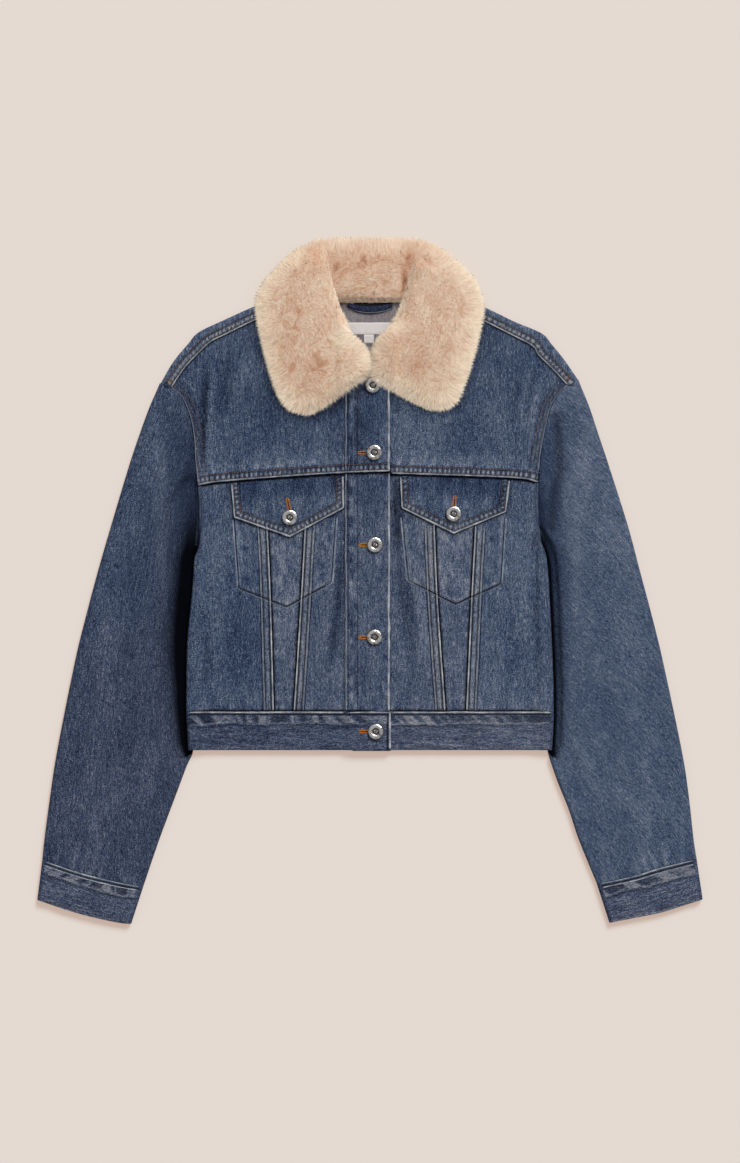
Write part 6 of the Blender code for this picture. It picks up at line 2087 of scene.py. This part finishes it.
# Places where the pile is parted and its peach roots show, and painted shade, as along the right leaf's roll
# edge on the stand: centre, half sizes, strength
PEACH_AND_SHADE_POOLS = {
    "left": [((-68, 236), 30, 15, 0.16), ((-92, 262), 12, 20, 0.16), ((-84, 300), 12, 26, 0.18),
             ((-46, 206), 16, 8, 0.14), ((-104, 236), 8, 10, 0.17)],
    "right": [((50, 240), 22, 16, 0.28), ((26, 262), 14, 14, 0.24), ((84, 262), 12, 18, 0.16),
              ((78, 306), 14, 16, 0.14), ((44, 312), 10, 14, 0.18)],
    "stand": [((-34, 330), 10, 20, 0.20), ((-8, 345), 11, 18, 0.13), ((45, 350), 6, 10, 0.40),
              ((39, 332), 5, 16, 0.75), ((4, 318), 46, 9, 0.15), ((18, 330), 8, 12, 0.16)],
}
LEAF_STRANDS, STAND_STRANDS = 76000, 52000
# Strength of the painted shade in the thin dark curls of the pile
CURL_SHADE = {"left": 0.27, "right": 0.20, "stand": 0.27}  # of the thin dark curls


def pad_surface(rows, base):
    """Places on a pad of pile: v along its rows, and a from 0 at its inner to 1 at its outer edge."""

    def at(v, a, inset):
        place = np.clip(v, 0, 1) * (len(rows) - 1)
        index = np.clip(place.astype(int), 0, len(rows) - 2)
        t = (place - index)[..., None]
        row = rows[index] * (1 - t) + rows[index + 1] * t
        inner, outer, crest = row[..., 0:2], row[..., 2:4], row[..., 4]
        width = np.linalg.norm(outer - inner, axis=-1, keepdims=True)
        shrink = np.minimum(inset[..., None] / width, 0.35)
        turn = np.clip(a, 0, 1) * math.pi
        share = (0.5 - 0.5 * np.cos(turn))[..., None]
        xy = inner + (outer - inner) * (shrink + (1 - 2 * shrink) * share)
        crown = np.maximum(crest - inset * 0.9, 2.0) * (1 - 0.22 * share[..., 0])
        top = base(xy[..., 0]) + crown * (0.28 + 0.72 * np.sin(turn) ** 0.55)
        return stack(xy, top)

    return at


def scattered(at, count, rng):
    """Places (v, a) spread evenly over a pad's area."""
    v, a = rng.uniform(0, 1, count * 3), rng.uniform(0.0, 1.0, count * 3)
    step = 0.004
    here = at(v, a, np.zeros(len(v)))
    dv = at(v + step, a, np.zeros(len(v))) - here
    da = at(v, a + step, np.zeros(len(v))) - here
    area = np.linalg.norm(np.cross(dv, da), axis=1)
    keep = rng.uniform(0, 1, len(v)) < area / np.quantile(area, 0.93)
    return v[keep][:count], a[keep][:count]


def pad_frame(at, v, a):
    """Directions on a pad: outwards across it, along it, and off it."""
    zero = np.zeros(len(v))
    outward = unit(at(v, np.minimum(a + 0.02, 1), zero) - at(v, np.maximum(a - 0.02, 0), zero))
    onward = unit(at(np.minimum(v + 0.01, 1), a, zero) - at(np.maximum(v - 0.01, 0), a, zero))
    normal = unit(np.cross(onward, outward))
    return outward, onward, normal * np.where(normal[:, 2:3] < 0, -1.0, 1.0)


def locks_at(u, w, seed):
    """The lock of pile at each place, u along a pad and w across it in millimetres. Its strands lean to one
    tip. It gives u and w of that tip, the distance from its centre, its height, and 0 on a dark curl."""
    bent_u = u + 5.0 * rough(u, w, 13, 11, seed + 7) + 1.6 * rough(u, w, 4, 4, seed + 9)
    bent_w = w + 5.0 * rough(u, w, 12, 13, seed + 8) + 1.6 * rough(u, w, 4, 4, seed + 10)
    i, j = np.floor(bent_u / LOCK_SIZE).astype(int), np.floor(bent_w / LOCK_SIZE).astype(int)
    pick = np.random.default_rng(seed + 5)
    shift, tall = pick.uniform(-0.35, 0.35, (300, 300, 2)), pick.uniform(0.0, 1.0, (300, 300))
    lock_u = (i + 0.5 + shift[i % 300, j % 300, 0]) * LOCK_SIZE
    lock_w = (j + 0.5 + shift[i % 300, j % 300, 1]) * LOCK_SIZE
    off_center = np.hypot(bent_u - lock_u, bent_w - lock_w) / LOCK_SIZE
    curl = np.abs(rough(bent_u, bent_w, 8.0, 2.6, seed + 11))
    return lock_u + u - bent_u, lock_w + w - bent_w, off_center, tall[i % 300, j % 300], curl


def peach_and_shade_pools(pool, root):
    """How much the peach roots show where the pile is parted, and how much painted shade darkens the pile."""
    total = np.zeros(len(root))
    for (px, py), half_x, half_y, amount in PEACH_AND_SHADE_POOLS[pool]:
        here = np.exp(-(((root[:, 0] - px) / half_x) ** 2) - ((root[:, 1] - py) / half_y) ** 2)
        total = np.maximum(total, amount * here)
    return total


def fur_pad(name, pool, rows, base, count, seed, fringe, roll):
    """Locks of pile over a backing. Along the fringe, a line round the pad's free edge, the pile is long and
    straight and points outwards. roll says how strongly it leans inwards over the roll edge."""
    rng = np.random.default_rng(seed)
    at = pad_surface(rows, base)
    length = np.linalg.norm(np.diff(rows[:, 0:2] + rows[:, 2:4], axis=0), axis=1).sum() / 2
    width = np.linalg.norm(rows[:, 2:4] - rows[:, 0:2], axis=1).mean()
    v, a = scattered(at, count, rng)
    zero = np.zeros(len(v))
    outward, onward, normal = pad_frame(at, v, a)
    skin = at(v, a, zero + 0.8)
    # Towards the fringe
    distance, where = from_line(fringe, skin[:, 0], skin[:, 1])
    distance = np.abs(distance)
    nearest = along(fringe, where / run_of(fringe)[-1])
    away = unit(stack(nearest - skin[:, :2], 0.0) + 1e-6)
    straight = 1 - smooth((distance - FRINGE_REACH[0]) / FRINGE_REACH[1])
    u, w = v * length, a * width * 1.2
    whorl = (2.0 * rough(u, w, 19, 16, seed) + 1.0 * rough(u, w, 8, 7, seed + 1)) * smooth((a - 0.04) / 0.2)
    sweep = whorl * 0.45 - 0.5 * math.pi * smooth((a - 0.05) / 0.2)
    angle = sweep + math.pi * (1 - smooth((a - 0.03) / 0.12)) * roll(v) + 0.2 * rng.normal(0, 1, len(v))
    curled = np.cos(angle)[:, None] * outward + np.sin(angle)[:, None] * onward
    fan = 0.16 * rng.normal(0, 1, (len(v), 3)) + 0.25 * wave(where, 7, seed + 3)[:, None] * onward
    lean = unit(curled * (1 - straight)[:, None] + (away + fan) * (1.6 * straight)[:, None])
    lock_u, lock_w, off_center, height, curl = locks_at(u, w, seed)
    rolled = (1 - smooth((a - 0.03) / 0.14)) * roll(v)
    reach = (2.4 + 7.5 * straight + 3.2 * rolled) * (0.6 + 0.7 * rng.uniform(0, 1, len(v)))
    reach = reach + 2.0 * rolled * wave(u, 5, seed + 13)
    tuft = where / TUFT_SIZE + 0.5 * wave(where, 13, seed + 4) + 0.5 * wave(distance, 4, seed + 6)
    beside_tuft = tuft - np.floor(tuft) - 0.5
    overhang = OVERHANG * (1.15 - 1.7 * np.abs(beside_tuft)) * rng.uniform(0.3, 1, len(v))
    reach = np.where(straight > 0.3, np.minimum(reach, distance + overhang), reach)
    ahead = along(fringe, np.clip((where + 0.5) / run_of(fringe)[-1], 0, 1))
    behind = along(fringe, np.clip((where - 0.5) / run_of(fringe)[-1], 0, 1))
    sideways = stack(unit(ahead - behind + 1e-9), 0.0) * (-0.8 * TUFT_SIZE * beside_tuft * straight)[:, None]
    target = at(lock_u / length, lock_w / (width * 1.2), zero + 0.4)
    gather = (0.34 * (1 - straight) * rng.uniform(0.3, 1, len(v)))[:, None]
    tip = skin * (1 - gather) + target * gather + lean * reach[:, None] + sideways
    sunk = 0.5 - 1.6 * (1 - height) ** 2 * (1 - 0.5 * straight) - 0.8 * rng.uniform(0, 1, len(v))
    tip += normal * (sunk - 0.7 * smooth((off_center - 0.35) / 0.3) * (1 - straight))[:, None]
    tip[:, 2] = np.maximum(tip[:, 2], base(tip[:, 0]) + 0.6)
    root = at(v, a, zero + BACKING_DEPTH)
    knee = 0.55 * root + 0.45 * tip + normal * (1.1 - 0.4 * straight)[:, None] + rng.normal(0, 0.2, tip.shape)
    # The tone: peach roots where the pile is parted, painted shade along the right leaf's roll edge, between
    # the locks, in the curls and between the tufts of the fringe, darker towards the top of the collar, and a
    # painted highlight on the rolled edges
    peach_and_shade = peach_and_shade_pools(pool, root) * (0.85 + 0.25 * rough(u, w, 5, 3.5, seed + 12))
    tone = 0.57 + 0.06 * (height - 0.5) + 0.18 * rng.uniform(-0.5, 0.5, len(v))
    tone = tone + 0.13 * straight - 1.1 * peach_and_shade
    tone += 0.09 * rough(u, w, 11, 9, seed + 2) - 0.07 * smooth((off_center - 0.38) / 0.25) * (1 - straight)
    tone -= CURL_SHADE[pool] * (1 - smooth(curl / 0.28)) * (1 - 0.6 * straight) - 0.03
    tone += (0.13 - 1.3 * np.abs(beside_tuft) ** 2.0) * straight - 0.22 * smooth((root[:, 1] - 325) / 40)
    tone += 0.2 * rolled - 0.03
    strand_mesh(name, [root, knee, tip], normal, rng, tone)
    backing(f"{name}_backing", at, base)


def strand_mesh(name, levels, normal, rng, tone):
    """Each strand is a thin bent leaf, widest at its knee, that shades as the pile's surface does."""
    count = len(tone)
    side = unit(np.cross(unit(levels[-1] - levels[0]), normal + rng.normal(0, 0.4, normal.shape)))
    root, knee, tip = levels
    points = np.stack([root, knee - side * STRAND_HALF, knee + side * STRAND_HALF, tip], axis=1)
    first = np.arange(count)[:, None, None] * 4
    halves = (first + np.array([(0, 2, 1), (1, 2, 3)])).reshape(-1, 3)
    share = np.tile(np.repeat(STRAND_LEVELS, (1, 2, 1)), count)
    looks = {"along": share, "tone": np.repeat(tone, 4)}
    obj = make_mesh(name, points.reshape(-1, 3), [halves], looks, FINISH["fur"], 180)
    face_up = unit(normal + (0.0, 0.0, 0.45) + 0.30 * rng.normal(0, 1, normal.shape))
    obj.data.normals_split_custom_set_from_vertices(np.repeat(face_up, 4, axis=0).tolist())
    obj.visible_shadow = False
    dress(obj, "fur_collar")


def backing(name, at, base):
    """The cloth backing under the pile."""
    v, a = np.meshgrid(np.linspace(0, 1, 44), np.linspace(0, 1, 30), indexing="ij")
    points = at(v, a, np.full(v.shape, BACKING_DEPTH))
    t = np.linspace(1, 0, 8)[1:-1]
    under_xy = points[:, -1:, :2] * t[None, :, None] + points[:, :1, :2] * (1 - t)[None, :, None]
    rings = np.concatenate([points, stack(under_xy, base(under_xy[..., 0]) + 0.3)], axis=1)
    count, around = rings.shape[:2]
    i, j = np.meshgrid(np.arange(count), np.arange(around), indexing="ij")
    tone = 0.36 + 0.12 * rough(i, j, 3, 3, 9) + 0.2 * (j < 4)
    looks = {"along": np.full(i.size, 0.1), "tone": tone.ravel()}
    quads = quads_of(count, around, ring=True)[:, ::-1]
    caps = [np.arange(around)[None], (np.arange(around)[::-1] + (count - 1) * around)[None]]
    obj = make_mesh(name, rings.reshape(-1, 3), [quads, *caps], looks, FINISH["fur"], 60)
    dress(obj, "fur_collar")


def fur_collar():
    """Two leaves on the yokes, rolled at the neck opening from a quarter of the way up, and the stand."""
    for seed, side in enumerate(SIDES):
        fur_pad(f"fur_leaf_{side}", side, fine_rows(LEAF[side], 60), lambda x, side=side: leaf_base(side, x),
                LEAF_STRANDS, 301 + seed, collar_fringe(side), lambda v: smooth((v - 0.25) / 0.1))
    rows = np.array([(x, low, x, high, crest) for x, low, high, crest in fine_rows(STAND, 40)])
    fur_pad("fur_stand", "stand", rows, lambda x: np.zeros(np.shape(x)), STAND_STRANDS, 311, rows[:, 2:4],
            lambda v: np.ones(len(v)))


# ---------------------------------------------------------------- trims


def buttons():
    """Turned shank buttons: a domed ring with a rolled edge, a groove and a sunk, ribbed centre."""
    r = BUTTON_RADIUS
    # radius, height, painted shade: from the centre out
    profile = [(0.0, 2.1, 0.6), (0.08, 2.1, 0.6), (0.16, 2.07, 0.64), (0.24, 2.0, 0.7), (0.30, 1.94, 0.8),
               (0.34, 1.9, 0.95), (0.38, 2.3, 0.8), (0.43, 2.9, 0.4), (0.50, 3.2, 0.15), (0.60, 3.42, 0.0),
               (0.70, 3.5, 0.0), (0.81, 3.32, 0.0), (0.90, 2.98, 0.0), (0.96, 2.5, 0.0), (0.99, 1.9, 0.1),
               (1.0, 1.2, 0.35), (0.99, 0.5, 0.7), (0.95, 0.15, 0.9), (0.9, 0.0, 0.9)]
    table = np.array(profile)
    turns = np.linspace(0, 2 * math.pi, 56, endpoint=False)
    spots = [(f"button_front_{k}", spot) for k, spot in enumerate(FRONT_BUTTONS, start=1)]
    spots += [(f"button_pocket_{side}", FLAP_BUTTONS[side]) for side in SIDES]
    for seed, (name, (cx, cy)) in enumerate(spots):
        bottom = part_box(name)[0].z / MM
        radius = table[1:, :1] * r
        x = cx + radius * np.cos(turns)
        y = cy + radius * np.sin(turns)
        ribs = 0.07 * np.cos(14 * turns) * ((table[1:, :1] > 0.13) & (table[1:, :1] < 0.31))
        z = bottom + table[1:, 1:2] + ribs
        rings = np.stack([x, y, z], axis=-1)
        count, around = rings.shape[:2]
        points = np.vstack([rings.reshape(-1, 3), (cx, cy, bottom + table[0, 1]), (cx, cy, bottom)])
        quads = quads_of(count, around, ring=True)[:, ::-1]
        k = np.arange(around)
        n = (k + 1) % around
        last = (count - 1) * around
        fans = [np.stack([np.full(around, count * around), k, n], axis=1),
                np.stack([np.full(around, count * around + 1), last + n, last + k], axis=1)]
        # Brown tarnish on the ring's lower right side, which also paints the brownish reflection there, added
        # to the painted shade
        tarnish_and_reflection = 0.55 * np.clip(wave(turns * 4, 1.1, seed) + 0.1, 0, 1) * np.clip(np.cos(turns + 0.5), 0, 1)
        shade_and_tarnish = table[1:, 2:] + tarnish_and_reflection * ((table[1:, :1] > 0.5) & (table[1:, :1] < 0.95))
        dark = np.concatenate([shade_and_tarnish.ravel(), [0.6, 0.8]])
        piece = make_mesh(f"{name}_turned", points, [quads, *fans], {"painted_shade": dark}, FINISH["nickel"], 40)
        dress(piece, name)


def tape(name, size, place, finish, sag=0.0, crown=0.0, seed=1):
    """A tape that lies on the back yoke: sag bows its middle down the yoke, and crown rounds its back."""
    long, wide, thick = size
    u, v = np.meshgrid(np.linspace(-0.5, 0.5, 50), np.linspace(-0.5, 0.5, 12))
    x = place[0] + u * long
    bow = sag * ((2 * u) ** 2 - 0.4)
    y = place[1] + v * wide * (1 - 0.6 * np.sign(sag) * (2 * u) ** 4) + bow + 0.15 * wave(x, 9, seed)
    top = BODY_WALL + SEAT_GAP + thick
    z = top + 0.15 * wave(x, 11, seed + 1) + crown * (1 - (2 * v) ** 2)
    z = z - rounded((0.5 - np.abs(v)) * wide, 0.35)
    looks = looks_of(x, y, 40 + seed)
    piece = shell(f"{name}_tape", np.stack([x, y, z], axis=-1), thick, FINISH[finish], looks)
    dress(piece, name)
    if wide > 10:
        cut_sheet(np.stack([x, y, np.full(x.shape, top)], axis=-1))


def neck_trims():
    """The hanger loop with its worn lower edge, and the two blank labels."""
    tape("hanger_loop", LOOP_SIZE, LOOP_PLACE, "navy", sag=LOOP_SAG, crown=1.0, seed=1)
    tape("neck_label", LABEL_SIZE, LABEL_PLACE, "satin", seed=3)
    tape("size_tab", TAB_SIZE, TAB_PLACE, "satin", seed=5)
    under_loop = np.linspace(-0.49, 0.49, 60)
    xs = LOOP_PLACE[0] + under_loop * LOOP_SIZE[0]
    ys = LOOP_PLACE[1] - 3.2 + LOOP_SAG * ((2 * under_loop) ** 2 - 0.4)
    edge_bead(np.stack([xs, ys], axis=1), half=0.6, rise=0.25, strength=0.9, seed=215)


# ---------------------------------------------------------------- stage


PHOTO_SIZE = (740, 1163)
PIXEL_MM = 1.1
LENS_MM, SENSOR_MM = 120.0, 36.0
CLOTH_LEVEL = 9.0  # the height at which the scale holds
# The floor gives off part of its light, as a backlit table does, so that the shadows on it stay pale and warm
FLOOR_COLOR = (145, 162, 166)
FLOOR_GLOW = (186, 158, 142)


def camera():
    """Straight above the jacket, with its collar at the top of the frame."""
    data = bpy.data.cameras.new("camera")
    data.lens, data.sensor_width = LENS_MM, SENSOR_MM
    data.clip_end = 50.0
    obj = bpy.data.objects.new("camera", data)
    seen = PHOTO_SIZE[1] * PIXEL_MM
    distance = seen * LENS_MM / SENSOR_MM
    obj.location = (0.0, 0.5 * PIXEL_MM * MM, (distance + CLOTH_LEVEL) * MM)
    bpy.context.scene.collection.objects.link(obj)
    bpy.context.scene.camera = obj


def floor():
    """A plain pale floor."""
    half, parts = 4.0, 12
    side = np.linspace(-half, half, parts)
    x, y = np.meshgrid(side / MM, side / MM)
    points = np.stack([x, y, np.zeros(x.shape)], axis=-1)
    tree = Tree("pale_floor")
    place = tree.add("ShaderNodeTexCoord", out=3)
    tone = tree.noise(place, (3.0, 3.0, 3.0), 2.0)
    tree.put(tree.shader, {"Base Color": tree.ramp(tone, [(0.0, FLOOR_COLOR), (1.0, FLOOR_COLOR)]),
                           "Roughness": 0.95, "Specular IOR Level": 0.0,
                           "Emission Color": (*linear(FLOOR_GLOW), 1.0), "Emission Strength": 1.0})
    obj = make_mesh("floor", points.reshape(-1, 3), [quads_of(parts, parts)], {}, tree.material, 180)


def light():
    """Soft light from all over, and a broad source from the upper right."""
    world = bpy.data.worlds.new("studio")
    world.use_nodes = True
    nodes, links = world.node_tree.nodes, world.node_tree.links
    back = nodes["Background"]
    back.inputs["Strength"].default_value = 0.40
    place = nodes.new("ShaderNodeTexCoord")
    split = nodes.new("ShaderNodeSeparateXYZ")
    ramp = nodes.new("ShaderNodeValToRGB")
    band = ramp.color_ramp
    band.elements[0].position, band.elements[0].color = 0.0, (0.30, 0.28, 0.27, 1.0)
    band.elements[1].position, band.elements[1].color = 0.75, (1.12, 1.08, 1.05, 1.0)
    links.new(place.outputs["Generated"], split.inputs[0])
    links.new(split.outputs["Z"], ramp.inputs[0])
    links.new(ramp.outputs[0], back.inputs["Color"])
    bpy.context.scene.world = world
    sun = bpy.data.lights.new("key", "SUN")
    sun.energy = 2.9
    sun.angle = math.radians(24)
    sun.color = (1.0, 0.985, 0.965)
    obj = bpy.data.objects.new("key", sun)
    bpy.context.scene.collection.objects.link(obj)
    obj.rotation_euler = (math.radians(-41), math.radians(25), 0.0)
    bpy.context.scene.view_settings.view_transform = "Standard"


def sewing():
    """All the sewing, laid on the cloth that is there."""
    front_sewing()
    placket_sewing()
    waist_sewing()
    buttonholes()
    top = cloth_top()
    for name, rows in stitch_rows.items():
        dress(stitch_mesh(name, settled(rows, top), FINISH[name]), None)
    dress(stitch_mesh("back_topstitch", np.concatenate(back_rows), FINISH["topstitch"]), None)
    dress(bead_mesh("worn_edges", pale_edges, top, FINISH["pale"]), None)


camera()
floor()
light()
back_panel()
back_yoke()
center_and_mid_fronts()
for hand in SIDES:
    side_front(hand)
    front_yoke(hand)
    pocket_flap(hand)
    sleeve(hand)
    armhole_allowance(hand)
    cuff(hand)
waistband()
neck_trims()
sewing()
buttons()
fur_collar()
